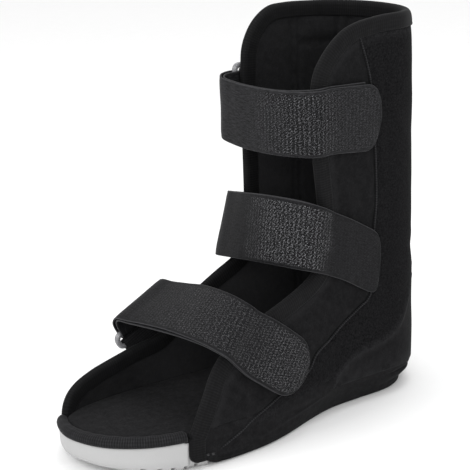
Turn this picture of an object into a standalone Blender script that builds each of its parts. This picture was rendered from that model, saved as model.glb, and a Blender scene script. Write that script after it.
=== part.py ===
"""Open toe post operative boot for the left foot.

Sole, rand, insole, hollow upper, toe rim, three straps, three loops and their tabs.
The toe points to -Y, the wearer's left is +X and Z is up, in metres.
The origin is on the floor, at the middle of the heel's flat. Tables are in millimetres,
and count forward places from the back of the heel.
"""

import bpy
import bmesh
import math
import numpy as np
from mathutils import Vector
from mathutils.geometry import delaunay_2d_cdt

MM = 0.001
GAP = 0.3
ORIGIN_FORWARD = 52.5

# Main sizes of the boot
HEEL_RADIUS = 45.6
HEEL_ARC = HEEL_RADIUS * math.pi / 2.0
SOLE_TOP = 21.0
WALL = 4.6
BINDING_WIDTH = 10.5
BINDING_RISE = 1.0
EDGE_ROUND = 2.8
EDGE_DROP = 1.3
PIPING_RISE = 1.1
PIPING_HALF = 1.4
RISE_RUN = 0.8
GRID = 11.0
RAND_WALL = 2.0
RAND_FOOT = 0.8
RAND_END = 249.0
INSOLE_RISE = 4.5
INSOLE_EDGE = 1.2
INSOLE_INSET = 5.4
INSOLE_TOE_INSET = 9.6
STRAP_THICK = 1.7
LAYER_GAP = 0.5
FOLD_RUN = (3.0, 17.0)
TIP_REACH = 14.0
TIP = {"share": (0.25, 0.5, 0.72, 0.9, 1.0), "narrow": (0.02, 0.07, 0.16, 0.29, 0.42)}
LOOP_WIRE = 2.2
LOOP_CORNER = 4.0
LOOP_OUTER = 62.0
LOOP_DEPTH = 14.5
TAB_THICK = 1.2
TAB_WIDTH = 46.0

# Plan of the foot at the sole's top: forward place, far edge and near edge
FOOT_PLAN = {
    "s": (45.6, 75.0, 100.0, 130.0, 160.0, 190.0, 225.0, 250.0, 271.0, 286.0, 299.0, 306.0, 308.5),
    "far": (45.6, 44.0, 43.5, 45.5, 49.0, 51.5, 53.0, 52.5, 50.0, 45.5, 36.0, 22.0, 9.0),
    "near": (45.6, 45.0, 45.5, 50.5, 56.0, 59.0, 58.5, 54.5, 47.5, 37.5, 23.0, 7.0, -9.0),
}
# Half widths of the shaft, which the foot's walls blend into
SHAFT_PLAN = {
    "s": (45.6, 80.0, 125.0, 180.0, 320.0),
    "far": (45.6, 45.2, 45.0, 47.0, 47.0),
    "near": (45.6, 45.0, 44.0, 46.0, 46.0),
}
BLEND_LOW = 25.0
BLEND_HIGH = 115.0

# Free edge of the upper: near side from the foot up, collar round the heel, far side down to the toe
NEAR_EDGE = {
    "s": (249.8, 248.5, 245.0, 240.5, 235.0, 225.5, 212.0, 196.0, 173.0, 150.0, 133.0, 124.5, 121.5, 121.0,
          122.5, 123.5, 121.5, 116.0, 105.0, 92.0, 80.0, 60.0, 45.6),
    "z": (21.3, 32.0, 44.0, 54.5, 65.0, 75.5, 81.0, 86.5, 96.0, 106.0, 112.5, 119.0, 130.0, 160.0,
          200.0, 245.0, 258.0, 269.0, 281.0, 289.0, 292.5, 295.0, 296.0),
}
COLLAR = {
    "u": (-71.6, -50.0, -20.0, 0.0, 20.0, 35.0, 50.0, 71.6),
    "z": (299.5, 299.0, 297.5, 296.5, 295.5, 294.5, 295.5, 296.0),
}
FAR_EDGE = {
    "s": (45.6, 75.0, 91.0, 103.0, 111.0, 116.0, 117.5, 117.5, 118.0, 121.0, 129.0, 147.0, 166.0,
          184.0, 196.0, 206.0, 222.0, 234.0, 248.0, 262.0, 276.0, 286.0, 292.0, 294.5),
    "z": (299.5, 300.5, 299.0, 291.5, 281.5, 270.0, 255.0, 160.0, 126.0, 117.0, 110.5, 101.2, 90.0,
          75.5, 64.5, 60.0, 57.5, 54.6, 51.3, 47.8, 43.0, 37.2, 30.0, 21.3),
}

# Raised seams of the near side's panels, as forward place and height
PIPING = {
    "s": (79.0, 73.5, 69.0, 64.5, 63.5, 65.5, 70.0, 82.0, 96.4, 112.0, 127.0, 136.4, 151.0, 166.0, 198.0),
    "z": (279.0, 267.0, 250.0, 199.0, 158.0, 139.0, 86.0, 78.0, 70.2, 60.7, 54.0, 44.5, 40.5, 36.7, 25.1),
}

# Steps of the heel and side, as height and how far each stands in from the plan
TIERS = {
    "z": (0.0, 1.6, 6.0, 7.6, 9.6, 13.0, 15.0, 16.4, 17.8, 21.0),
    "in": (11.5, 9.6, 8.6, 9.0, 5.2, 2.2, 2.4, 3.8, 1.0, 0.0),
}
FRONT_TIERS = {
    "z": (0.0, 2.0, 7.4, 14.6, 21.0),
    "in": (2.6, 1.0, 0.4, 0.2, 0.0),
}
SIDE_TIERS = {
    "z": (0.0, 1.6, 21.0),
    "in": (9.6, 8.6, 0.0),
}
HEEL_FADE = (46.0, 72.0)
FRONT_FADE = (100.0, 190.0)
TOE_SPRING = {"s": (215.0, 240.0, 265.0, 290.0, 310.0), "z": (0.0, 0.7, 2.4, 5.2, 8.0)}
WAIST_ARCH = (102.0, 128.0, 2.5)
LUG_GROOVES = (30.0, 45.0, 60.0, 75.0, 90.0, 145.0, 160.0, 175.0, 190.0, 205.0, 219.0, 232.0,
               243.0, 252.0, 261.0, 270.0, 280.0)
LUG_WIDTH = 3.2
TOE_PLACES = (249.6, 252.5, 260.0, 271.0, 279.0, 286.0, 292.0, 296.5, 301.0, 304.5, 307.0, 308.3)
PLAN_FOLD = 2 * len(TOE_PLACES) - 1
LUG_DEPTH = 3.0

# Toe rim section, across from the plan's edge and up from the sole
RIM_SECTION = ((-1.6, 0.6), (-2.6, 3.4), (-1.6, 6.6), (1.2, 8.8), (4.6, 8.6), (7.4, 6.6),
               (8.6, 3.4), (8.4, 0.6), (6.6, 0.3), (0.2, 0.3))

RIM_ENDS = (251.0, 295.5)

# Runs of the straps from the near seam, over the front and back to the loop.
# Columns: across, forward and height of the top edge, then of the bottom edge.
# A side's name stands for a place against the upper's wall on that side.
STRAP_1 = (
    ("near", 76.0, 250.0, "near", 80.0, 199.0),
    ("near", 95.0, 250.8, "near", 95.0, 200.0),
    ("near", 109.0, 251.2, "near", 109.0, 200.8),
    (46.0, 122.5, 251.2, 46.0, 122.5, 201.0),
    (35.0, 131.5, 250.6, 35.0, 131.0, 200.8),
    (20.0, 136.0, 249.6, 20.0, 135.5, 199.8),
    (-4.0, 137.5, 249.0, -4.0, 137.0, 199.0),
    (-26.0, 137.5, 249.2, -26.0, 137.0, 199.8),
    (-40.5, 135.5, 249.8, -40.5, 135.5, 201.4),
    (-46.2, 129.5, 250.2, -46.2, 129.5, 202.4),
    (-46.4, 123.5, 250.4, -46.4, 123.5, 202.6),
    ("far", 117.0, 250.4, "far", 117.0, 202.6),
)
STRAP_2 = (
    ("near", 77.0, 142.5, "near", 84.0, 95.5),
    ("near", 91.0, 150.5, "near", 97.0, 104.0),
    ("near", 107.0, 158.5, "near", 113.0, 111.5),
    (46.4, 122.0, 166.3, 46.8, 129.0, 118.0),
    (39.5, 131.5, 170.3, 40.5, 138.5, 121.0),
    (21.0, 138.5, 171.5, 22.0, 144.0, 121.5),
    (-2.0, 138.5, 169.3, -2.0, 145.0, 119.5),
    (-26.0, 134.5, 165.0, -27.0, 143.0, 116.0),
    (-42.0, 130.5, 162.0, -43.5, 139.5, 113.0),
    (-48.6, 122.5, 159.0, -49.4, 131.5, 110.5),
    ("far", 111.0, 156.5, "far", 119.0, 108.0),
    ("far", 100.0, 153.5, "far", 107.5, 104.5),
)
STRAP_3 = (
    ("near", 147.0, 74.5, "near", 180.0, 38.5),
    ("near", 158.0, 83.0, "near", 190.0, 47.5),
    ("near", 170.0, 92.0, "near", 200.0, 57.5),
    ("near", 181.0, 99.5, "near", 210.0, 68.5),
    (47.0, 188.0, 105.5, 57.0, 218.5, 77.0),
    (37.0, 191.0, 108.8, 46.0, 224.0, 82.0),
    (20.0, 191.5, 109.0, 26.0, 227.0, 83.5),
    (0.0, 190.5, 107.0, 4.0, 228.0, 82.5),
    (-20.0, 190.0, 103.5, -20.0, 229.0, 80.5),
    (-40.0, 189.5, 100.5, -42.0, 230.5, 78.5),
    (-54.5, 189.5, 99.0, -56.5, 231.5, 77.0),
    (-59.0, 186.5, 92.0, -61.0, 228.5, 70.5),
    (-58.8, 183.0, 85.0, -60.6, 225.0, 63.5),
)
# How far each strap's outer run lies below its inner run by its free end
STRAP_SLIP = (3.4, 0.0, -1.6)
SLIP_RUN = (8.0, 60.0)
# How far each loop's centre stands from the plain wall, and how long its tab is
TAB_SEATS = {"stand": (5.3, 5.9, 8.4), "length": (34.0, 34.0, 21.0)}


def table(rows, key, value, place):
    """Value of one column at a place of another, along straight runs."""
    return float(np.interp(place, rows[key], rows[value]))


def smooth_step(low, high, place):
    """Zero below low, one above high, eased between."""
    share = min(max((place - low) / (high - low), 0.0), 1.0)
    return share * share * (3.0 - 2.0 * share)


def smooth_rows(rows, per_span):
    """A finer run of rows through the given ones, with a Catmull-Rom curve."""
    rows = np.asarray(rows, float)
    padded = np.vstack([2.0 * rows[0] - rows[1], rows, 2.0 * rows[-1] - rows[-2]])
    out = []
    for i in range(len(rows) - 1):
        a, b, c, d = padded[i:i + 4]
        for k in range(per_span):
            t = k / per_span
            out.append(0.5 * (2.0 * b + (c - a) * t + (2.0 * a - 5.0 * b + 4.0 * c - d) * t * t
                              + (3.0 * b - a - 3.0 * c + d) * t ** 3))
    out.append(rows[-1])
    return np.array(out)


def wall_mid(u, z):
    """Point of the upper's outer skin at path length u from the heel, near side positive."""
    side = "near" if u >= 0.0 else "far"
    sign = 1.0 if u >= 0.0 else -1.0
    length = abs(u)
    if length < HEEL_ARC:
        angle = length / HEEL_RADIUS
        return np.array([
            sign * HEEL_RADIUS * math.sin(angle),
            HEEL_RADIUS * (1.0 - math.cos(angle)),
            z,
        ])
    forward = HEEL_RADIUS + length - HEEL_ARC
    foot = table(FOOT_PLAN, "s", side, forward)
    shaft = table(SHAFT_PLAN, "s", side, forward)
    share = smooth_step(BLEND_LOW, BLEND_HIGH, z)
    return np.array([sign * (foot + (shaft - foot) * share), forward, z])


def path_of(side, forward):
    """Path length of a place on one side, given how far forward it is."""
    sign = 1.0 if side == "near" else -1.0
    if forward < HEEL_RADIUS:
        return sign * HEEL_RADIUS * math.acos(1.0 - forward / HEEL_RADIUS)
    return sign * (HEEL_ARC + forward - HEEL_RADIUS)


def wall_normal(u, z):
    """Outward unit normal of the upper's skin."""
    step = 3.0
    along = wall_mid(u + step, z) - wall_mid(u - step, z)
    rise = wall_mid(u, z + step) - wall_mid(u, z - step)
    normal = np.cross(along, rise)
    return normal / np.linalg.norm(normal)


def on_wall(u, z, offset):
    """Point that stands off the upper's skin."""
    return wall_mid(u, z) + wall_normal(u, z) * offset


def metres(point):
    """Model point in metres, with forward as -Y from the middle of the heel's flat."""
    return (point[0] * MM, (ORIGIN_FORWARD - point[1]) * MM, point[2] * MM)


def make_material(name, colour, roughness):
    """Plain material with one colour."""
    material = bpy.data.materials.new(name)
    material.use_nodes = True
    shader = material.node_tree.nodes["Principled BSDF"]
    shader.inputs["Base Color"].default_value = (*colour, 1.0)
    shader.inputs["Roughness"].default_value = roughness
    return material


def add_object(name, points, faces, material, smooth=True):
    """Mesh object from points in millimetres, with its faces turned outward."""
    mesh = bpy.data.meshes.new(name)
    mesh.from_pydata([metres(p) for p in points], [], faces)
    shell = bmesh.new()
    shell.from_mesh(mesh)
    bmesh.ops.recalc_face_normals(shell, faces=shell.faces)
    if shell.calc_volume(signed=True) < 0.0:
        bmesh.ops.reverse_faces(shell, faces=shell.faces)
    shell.to_mesh(mesh)
    shell.free()
    mesh.materials.append(material)
    for polygon in mesh.polygons:
        polygon.use_smooth = smooth
    obj = bpy.data.objects.new(name, mesh)
    bpy.context.scene.collection.objects.link(obj)
    return obj


def apply_modifiers(obj):
    """Turns the object's modifiers into its mesh."""
    bpy.context.view_layer.objects.active = obj
    for modifier in list(obj.modifiers):
        bpy.ops.object.modifier_apply(modifier=modifier.name)


def cut(obj, cutter):
    """Takes a cutter out of the object and removes the cutter."""
    modifier = obj.modifiers.new("cut", "BOOLEAN")
    modifier.operation = "DIFFERENCE"
    modifier.solver = "EXACT"
    modifier.object = cutter
    apply_modifiers(obj)
    bpy.data.objects.remove(cutter)


def cap_strips(start, count, fold):
    """Strips across a closed plan, between each point and its partner on the other side."""
    faces = []
    i = (fold + 1) // 2
    while True:
        a, b = i % count, (i + 1) % count
        across_a, across_b = (fold - i) % count, (fold - i - 1) % count
        if b == across_b:
            faces.append((start + a, start + b, start + across_a))
            return faces
        faces.append((start + a, start + b, start + across_b, start + across_a))
        i += 1


def stacked_faces(rings, count, fold):
    """Sides and both caps of a stack of plans."""
    faces = ring_faces(rings, count, False, turned=set())[:-2]
    faces += cap_strips(0, count, fold)
    faces += cap_strips((rings - 1) * count, count, fold)
    return faces


def ring_faces(rings, count, closed_path, turned=None):
    """Faces between neighbouring rings of the same count, with end caps on an open path.

    With a set of places given, each quad is two triangles, and its diagonal is the other one there.
    """
    faces = []
    spans = rings if closed_path else rings - 1
    for r in range(spans):
        a = r * count
        b = ((r + 1) % rings) * count
        for k in range(count):
            n = (k + 1) % count
            if turned is None:
                faces.append((a + k, a + n, b + n, b + k))
            elif k in turned:
                faces += [(a + k, a + n, b + k), (a + n, b + n, b + k)]
            else:
                faces += [(a + k, a + n, b + n), (a + k, b + n, b + k)]
    if not closed_path:
        faces.append(tuple(range(count - 1, -1, -1)))
        faces.append(tuple((rings - 1) * count + k for k in range(count)))
    return faces


def plan_outline():
    """Closed plan of the foot as (point, outward normal, forward place, side)."""
    places = []
    for forward in TOE_PLACES:
        places.append(("near", forward))
    for forward in reversed(TOE_PLACES):
        places.append(("far", forward))
    sides = (248.8, 238.0, 225.0, 207.0, 190.0, 175.0, 160.0, 145.0, 130.0, 115.0, 100.0, 87.0, 75.0, 60.0)
    places += [("far", forward) for forward in sides]
    arc = 14
    points = []
    for side, forward in places:
        sign = 1.0 if side == "near" else -1.0
        points.append((sign * table(FOOT_PLAN, "s", side, forward), forward, forward, side))
    for k in range(arc + 1):
        angle = -math.pi / 2.0 + math.pi * k / arc
        forward = HEEL_RADIUS * (1.0 - math.cos(angle))
        points.append((HEEL_RADIUS * math.sin(angle), forward, forward, "far" if angle < 0 else "near"))
    for forward in reversed(sides):
        points.append((table(FOOT_PLAN, "s", "near", forward), forward, forward, "near"))
    flat = np.array([(p[0], p[1]) for p in points])
    tangent = np.roll(flat, -1, axis=0) - np.roll(flat, 1, axis=0)
    normal = np.column_stack([-tangent[:, 1], tangent[:, 0]])
    normal /= np.linalg.norm(normal, axis=1)[:, None]
    centre = np.array([0.0, 150.0])
    for i in range(len(flat)):
        inward = centre - flat[i]
        if abs(flat[i][1] - 150.0) < 90.0:
            inward = np.array([-flat[i][0], 0.0])
        if normal[i] @ inward > 0.0:
            normal[i] *= -1.0
    return [(flat[i], normal[i], points[i][2], points[i][3]) for i in range(len(flat))]


def tier_inset(z, forward):
    """How far the side stands in from the plan at a height."""
    heel = table(TIERS, "z", "in", z)
    middle = table(SIDE_TIERS, "z", "in", z)
    front = table(FRONT_TIERS, "z", "in", z)
    middle += (front - middle) * smooth_step(*FRONT_FADE, forward)
    return heel + (middle - heel) * smooth_step(*HEEL_FADE, forward)


def bottom_height(forward):
    """Height of the tread, with toe spring and a shallow waist."""
    low, high, rise = WAIST_ARCH
    spring = table(TOE_SPRING, "s", "z", forward)
    if low < forward < high:
        return rise * math.sin(math.pi * (forward - low) / (high - low))
    return spring


def side_levels():
    """Heights at which the sole's side has a line, which the rand shares."""
    return sorted(set(TIERS["z"]) | set(FRONT_TIERS["z"]) | {RAND_FOOT})


def make_sole(material):
    """Moulded outsole, set in where the rand covers its side, with cross grooves."""
    plan = plan_outline()
    levels = side_levels()
    points = []
    for z in levels:
        for place, normal, forward, side in plan:
            covered = forward < RAND_END
            inset = tier_inset(z, forward) + (RAND_WALL + GAP if covered else 0.0)
            floor = bottom_height(forward)
            height = max(floor + (SOLE_TOP - floor) * z / SOLE_TOP, 0.0)
            xy = place - normal * inset
            points.append((xy[0], xy[1], height))
    faces = stacked_faces(len(levels), len(plan), PLAN_FOLD)
    sole = add_object("sole", points, faces, material, smooth=False)
    for forward in LUG_GROOVES:
        low = bottom_height(forward) - 4.0
        high = bottom_height(forward) + LUG_DEPTH
        half = LUG_WIDTH / 2.0
        corners = [(x, s, z) for x in (-80.0, 80.0) for s in (forward - half, forward + half) for z in (low, high)]
        box = [(0, 1, 3, 2), (4, 6, 7, 5), (0, 4, 5, 1), (2, 3, 7, 6), (0, 2, 6, 4), (1, 5, 7, 3)]
        cut(sole, add_object("groove", corners, box, material, smooth=False))
    return sole


def make_rand(material):
    """Black wall that wraps the sole's side and heel."""
    plan = [p for p in plan_outline() if p[2] < RAND_END]
    levels = [z for z in side_levels() if z >= RAND_FOOT]
    points = []
    for place, normal, forward, side in plan:
        floor = bottom_height(forward) if forward > WAIST_ARCH[1] else 0.0
        def edge(z, extra):
            xy = place - normal * (tier_inset(z, forward) + extra)
            if forward > RAND_END - 1.0:
                xy = xy - np.array([0.0, 2.0 * GAP])
            return (xy[0], xy[1], max(floor + (SOLE_TOP - floor) * z / SOLE_TOP, RAND_FOOT))
        points += [edge(z, 0.0) for z in levels]
        points += [edge(z, RAND_WALL) for z in reversed(levels)]
    count = 2 * len(levels)
    inner = set(range(len(levels), count))
    return add_object("rand", points, ring_faces(len(plan), count, False, turned=inner), material)


def make_insole(material):
    """Flat footbed inside the wall and the toe rim."""
    plan = plan_outline()
    low = SOLE_TOP + GAP
    high = low + INSOLE_RISE
    points = []
    rings = ((0.0, low), (0.0, high - INSOLE_EDGE), (INSOLE_EDGE, high))
    for extra, z in rings:
        for place, normal, forward, side in plan:
            inset = INSOLE_INSET + (INSOLE_TOE_INSET - INSOLE_INSET) * smooth_step(238.0, 250.0, forward)
            xy = place - normal * (inset + extra)
            points.append((xy[0], xy[1], z))
    return add_object("insole", points, stacked_faces(len(rings), len(plan), PLAN_FOLD), material)


def make_toe_rim(material):
    """Padded rim round the open toe."""
    plan = plan_outline()
    near = [p for p in plan if p[3] == "near" and p[2] > RIM_ENDS[0]]
    far = [p for p in plan if p[3] == "far" and p[2] > RIM_ENDS[1]]
    stations = near + far
    points = []
    for place, normal, forward, side in stations:
        for inward, up in RIM_SECTION:
            xy = place - normal * inward
            points.append((xy[0], xy[1], SOLE_TOP + up))
    return add_object("toe_rim", points, ring_faces(len(stations), len(RIM_SECTION), False), material)


def free_edge():
    """Free edge of the upper in its flat pattern, as path length and height."""
    edge = [(path_of("near", s), z) for s, z in zip(NEAR_EDGE["s"], NEAR_EDGE["z"])]
    for k in range(1, 14):
        u = HEEL_ARC * (1.0 - k / 7.0)
        edge.append((u, table(COLLAR, "u", "z", u)))
    edge += [(path_of("far", s), z) for s, z in zip(FAR_EDGE["s"], FAR_EDGE["z"])]
    return np.array(edge)


def inset_line(edge, width):
    """The free edge moved into the pattern, ending on the pattern's foot."""
    tangent = np.gradient(edge, axis=0)
    normal = np.column_stack([-tangent[:, 1], tangent[:, 0]])
    normal /= np.linalg.norm(normal, axis=1)[:, None]
    line = edge + normal * width
    if line[len(line) // 2][1] > edge[len(edge) // 2][1]:
        line = edge - normal * width
    line[0][1] = edge[0][1]
    line[-1][1] = edge[-1][1]
    line[:, 1] = np.maximum(line[:, 1], edge[0][1])
    return line


def distance_to(line, point):
    """Distance from a point to a run of straight pieces."""
    a = line[:-1]
    b = line[1:]
    along = b - a
    share = np.clip(((point - a) * along).sum(1) / (along ** 2).sum(1), 0.0, 1.0)
    return float(np.min(np.linalg.norm(point - (a + along * share[:, None]), axis=1)))


def pattern():
    """Flat pattern of the upper: its points, triangles and outline edges."""
    edge = free_edge()
    foot = edge[0][1]
    lines = [inset_line(edge, w) for w in (EDGE_ROUND, BINDING_WIDTH, BINDING_WIDTH + RISE_RUN)]
    seam = smooth_rows([(path_of("near", s), z) for s, z in zip(PIPING["s"], PIPING["z"])], 2)
    tangent = np.gradient(seam, axis=0)
    normal = np.column_stack([-tangent[:, 1], tangent[:, 0]])
    normal /= np.linalg.norm(normal, axis=1)[:, None]
    widths = (PIPING_HALF, PIPING_HALF + RISE_RUN, -PIPING_HALF, -PIPING_HALF - RISE_RUN)
    seams = [seam] + [seam + normal * width for width in widths]
    floor_run = np.arange(edge[-1][0] + 9.0, edge[0][0] - 4.0, 9.0)
    border = [tuple(p) for p in edge] + [(u, foot) for u in floor_run]
    points = list(border)
    links = [(i, (i + 1) % len(border)) for i in range(len(border))]
    for line in lines + seams:
        start = len(points)
        points += [tuple(p) for p in line]
        links += [(start + i, start + i + 1) for i in range(len(line) - 1)]
    guards = np.array(points)
    for u in np.arange(edge[-1][0], edge[0][0], GRID):
        for z in np.arange(foot + GRID * 0.8, 300.0, GRID):
            if np.min(np.hypot(guards[:, 0] - u, guards[:, 1] - z)) < GRID * 0.45:
                continue
            if min(distance_to(line, np.array([u, z])) for line in [edge] + lines + seams) < 3.2:
                continue
            points.append((u, z))
    outline = [tuple(range(len(border)))]
    result = delaunay_2d_cdt([Vector(p) for p in points], links, outline, 1, 0.01)
    flat = np.array([(v[0], v[1]) for v in result[0]])
    triangles = [tuple(f) for f in result[2]]
    return flat, triangles, edge, seam


def outline_edges(triangles):
    """Edges that only one triangle uses, in that triangle's direction."""
    seen = {}
    for a, b, c in triangles:
        for pair in ((a, b), (b, c), (c, a)):
            seen[pair] = seen.get(pair, 0) + 1
    return [pair for pair in seen if (pair[1], pair[0]) not in seen]


def make_upper(material):
    """Hollow wall of the upper: the flat pattern wrapped round the last, outside and inside."""
    flat, triangles, edge, seam = pattern()
    outer = []
    inner = []
    for u, z in flat:
        here = np.array([u, z])
        from_edge = distance_to(edge, here)
        rise = BINDING_RISE * (1.0 - smooth_step(BINDING_WIDTH, BINDING_WIDTH + RISE_RUN, from_edge))
        from_seam = distance_to(seam, here)
        bump = PIPING_RISE * (1.0 - smooth_step(PIPING_HALF, PIPING_HALF + RISE_RUN, from_seam))
        lift = max(rise, bump)
        sink = 0.5 * rise
        if from_edge < 0.05 and z > edge[0][1] + 0.01:
            lift = -EDGE_DROP
            sink = -EDGE_DROP
        outer.append(on_wall(u, z, lift))
        inner.append(on_wall(u, z, -WALL - sink))
    count = len(flat)
    faces = list(triangles)
    faces += [(a + count, c + count, b + count) for a, b, c in triangles]
    faces += [(b, a, a + count, b + count) for a, b in outline_edges(triangles)]
    return add_object("upper", outer + inner, faces, material)


def strap_edge(row):
    """Top and bottom points of one strap station, against the wall where the row says so."""
    ends = []
    for across, forward, height in (row[0:3], row[3:6]):
        if isinstance(across, str):
            ends.append(on_wall(path_of(across, forward), height, BINDING_RISE + GAP + 0.1))
        else:
            ends.append(np.array([across, forward, height]))
    return ends


def strap_runs(rows):
    """Inner edge lines of a strap: out along the wall, round the loop's bar and back on top."""
    first = np.array([np.concatenate(strap_edge(row)) for row in rows])
    lower = smooth_rows(first, 3)
    tops = lower[:, :3]
    bottoms = lower[:, 3:]
    along = np.gradient((tops + bottoms) / 2.0, axis=0)
    normal = np.cross(along, tops - bottoms)
    normal /= np.linalg.norm(normal, axis=1)[:, None]
    if normal[0][0] < 0.0:
        normal = -normal
    return tops, bottoms, normal


def ribbon(name, tops, bottoms, normals, thick, material):
    """Closed strip from edge lines and normals."""
    points = []
    for top, bottom, normal in zip(tops, bottoms, normals):
        middle = (top + bottom) / 2.0
        points += [top, top + normal * thick, middle + normal * thick, bottom + normal * thick, bottom, middle]
    return add_object(name, points, ring_faces(len(tops), 6, False), material)


def make_strap(name, rows, slip, material):
    """Strap folded back over itself round the loop's front bar, with a rounded free end."""
    tops, bottoms, normals = strap_runs(rows)
    over = STRAP_THICK + LAYER_GAP
    bar = LOOP_WIRE + GAP
    count = len(tops)
    lift = np.full(count, over)
    lower = np.zeros((count, 3))
    for i in range(count):
        back = np.linalg.norm((tops[i] + bottoms[i] - tops[-1] - bottoms[-1]) / 2.0)
        down = (bottoms[i] - tops[i]) / np.linalg.norm(bottoms[i] - tops[i])
        lower[i] = down * slip * smooth_step(*SLIP_RUN, back)
        lift[i] = over + (2.0 * bar + STRAP_THICK - over) * (1.0 - smooth_step(*FOLD_RUN, back))
    line_t = list(tops)
    line_b = list(bottoms)
    line_n = list(normals)
    end_t, end_b, end_n = tops[-1], bottoms[-1], normals[-1]
    along = (end_t + end_b) / 2.0 - (tops[-2] + bottoms[-2]) / 2.0
    along /= np.linalg.norm(along)
    centre = end_n * (STRAP_THICK + bar)
    for k in range(1, 8):
        angle = math.pi * k / 8.0
        turn = end_n * (-math.cos(angle)) + along * math.sin(angle)
        line_t.append(end_t + centre + turn * (bar + STRAP_THICK))
        line_b.append(end_b + centre + turn * (bar + STRAP_THICK))
        line_n.append(-turn)
    for i in range(count - 1, -1, -1):
        line_t.append(tops[i] + lower[i] + normals[i] * (lift[i] + STRAP_THICK))
        line_b.append(bottoms[i] + lower[i] + normals[i] * (lift[i] + STRAP_THICK))
        line_n.append(-normals[i])
    start = len(line_t) - 1
    for share, narrow in zip(TIP["share"], TIP["narrow"]):
        reach = TIP_REACH * share
        step_t = line_t[start] - line_t[start - 1]
        step_b = line_b[start] - line_b[start - 1]
        step_t = step_t / np.linalg.norm(step_t)
        step_b = step_b / np.linalg.norm(step_b)
        top = line_t[start] + step_t * reach
        bottom = line_b[start] + step_b * reach
        line_t.append(top + (bottom - top) * narrow)
        line_b.append(bottom + (top - bottom) * narrow)
        line_n.append(line_n[start])
    strap = ribbon(name, line_t, line_b, line_n, STRAP_THICK, material)
    frame = (end_t, end_b, end_n, along)
    return strap, frame


def make_loop(name, frame, material):
    """Rectangular loop with round wire, its front bar in the strap's fold."""
    end_t, end_b, end_n, along = frame
    up = (end_t - end_b) / np.linalg.norm(end_t - end_b)
    bar = LOOP_WIRE + GAP
    middle = (end_t + end_b) / 2.0 + end_n * (STRAP_THICK + bar)
    half = LOOP_OUTER / 2.0 - LOOP_WIRE
    deep = LOOP_DEPTH - 2.0 * LOOP_WIRE
    radius = LOOP_CORNER
    path = []
    for cx, cy, first in ((deep - radius, half - radius, 0.0), (radius, half - radius, 90.0),
                          (radius, radius - half, 180.0), (deep - radius, radius - half, 270.0)):
        for k in range(4):
            angle = math.radians(first + 30.0 * k)
            path.append((cx + radius * math.cos(angle), cy + radius * math.sin(angle), angle))
    points = []
    for x, y, angle in path:
        centre = middle + along * x + up * y
        out = along * math.cos(angle) + up * math.sin(angle)
        for k in range(8):
            turn = math.pi * 2.0 * k / 8.0
            points.append(centre + out * (LOOP_WIRE * math.cos(turn)) + end_n * (LOOP_WIRE * math.sin(turn)))
    return add_object(name, points, ring_faces(len(path), 8, True), material)


def make_tab(name, frame, seat, length, material):
    """Webbing tab that turns round the loop's rear bar, both ends sewn to the wall."""
    end_t, end_b, end_n, along = frame
    up = (end_t - end_b) / np.linalg.norm(end_t - end_b)
    bar = LOOP_WIRE + GAP
    middle = (end_t + end_b) / 2.0 + end_n * (STRAP_THICK + bar) + along * (LOOP_DEPTH - 2.0 * LOOP_WIRE)
    low = -(bar + TAB_THICK)
    floor = GAP - seat
    upper_floor = floor + 2.0 * TAB_THICK + GAP
    line = [
        (length, floor, 0.0, 1.0),
        (length * 0.55, floor, 0.0, 1.0),
        (length * 0.25, (floor + low) / 2.0, 0.0, 1.0),
    ]
    for k in range(9):
        angle = math.pi * k / 8.0
        line.append((-math.sin(angle) * (bar + TAB_THICK), -math.cos(angle) * (bar + TAB_THICK),
                     math.sin(angle), math.cos(angle)))
    line += [
        (length * 0.25, 0.25 * upper_floor + 0.75 * (bar + TAB_THICK), 0.0, -1.0),
        (length * 0.55, upper_floor, 0.0, -1.0),
        (length, upper_floor, 0.0, -1.0),
    ]
    tops = []
    bottoms = []
    normals = []
    for x, y, nx, ny in line:
        centre = middle + along * x + end_n * y
        tops.append(centre + up * TAB_WIDTH / 2.0)
        bottoms.append(centre - up * TAB_WIDTH / 2.0)
        normals.append(along * nx + end_n * ny)
    return ribbon(name, tops, bottoms, normals, TAB_THICK, material)


def main():
    for obj in list(bpy.data.objects):
        bpy.data.objects.remove(obj)
    grey_rubber = make_material("grey_rubber", (0.55, 0.55, 0.55), 0.7)
    black_rubber = make_material("black_rubber", (0.02, 0.02, 0.022), 0.75)
    footbed_foam = make_material("footbed_foam", (0.03, 0.03, 0.03), 0.9)
    laminate = make_material("foam_laminate", (0.015, 0.015, 0.017), 0.95)
    edge_binding = make_material("edge_binding", (0.03, 0.03, 0.032), 0.9)
    webbing = make_material("strap_webbing", (0.04, 0.04, 0.045), 0.85)
    tab_webbing = make_material("tab_webbing", (0.02, 0.02, 0.02), 0.9)
    loop_plastic = make_material("loop_plastic", (0.6, 0.6, 0.6), 0.3)
    make_sole(grey_rubber)
    make_rand(black_rubber)
    make_insole(footbed_foam)
    make_upper(laminate)
    make_toe_rim(edge_binding)
    for number, rows in enumerate((STRAP_1, STRAP_2, STRAP_3), start=1):
        strap, frame = make_strap(f"strap_{number}", rows, STRAP_SLIP[number - 1], webbing)
        make_loop(f"loop_{number}", frame, loop_plastic)
        stand, length = TAB_SEATS["stand"][number - 1], TAB_SEATS["length"][number - 1]
        make_tab(f"loop_tab_{number}", frame, stand, length, tab_webbing)


main()
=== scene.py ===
"""Looks of an open toe post operative boot for the left foot.

The toe points to -Y, the wearer's left is +X and Z is up. Forms are worked out in millimetres
as across, forward from the back of the heel, and height, and become metres as they turn into meshes.
"""

import logging
import math
from dataclasses import dataclass, field
from enum import Enum
from typing import Callable, Sequence

import bpy
import numpy as np
from bpy.types import Material, Node, NodeSocket, NodeTree, Object
from mathutils import Matrix, Vector
from mathutils.geometry import delaunay_2d_cdt


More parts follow.
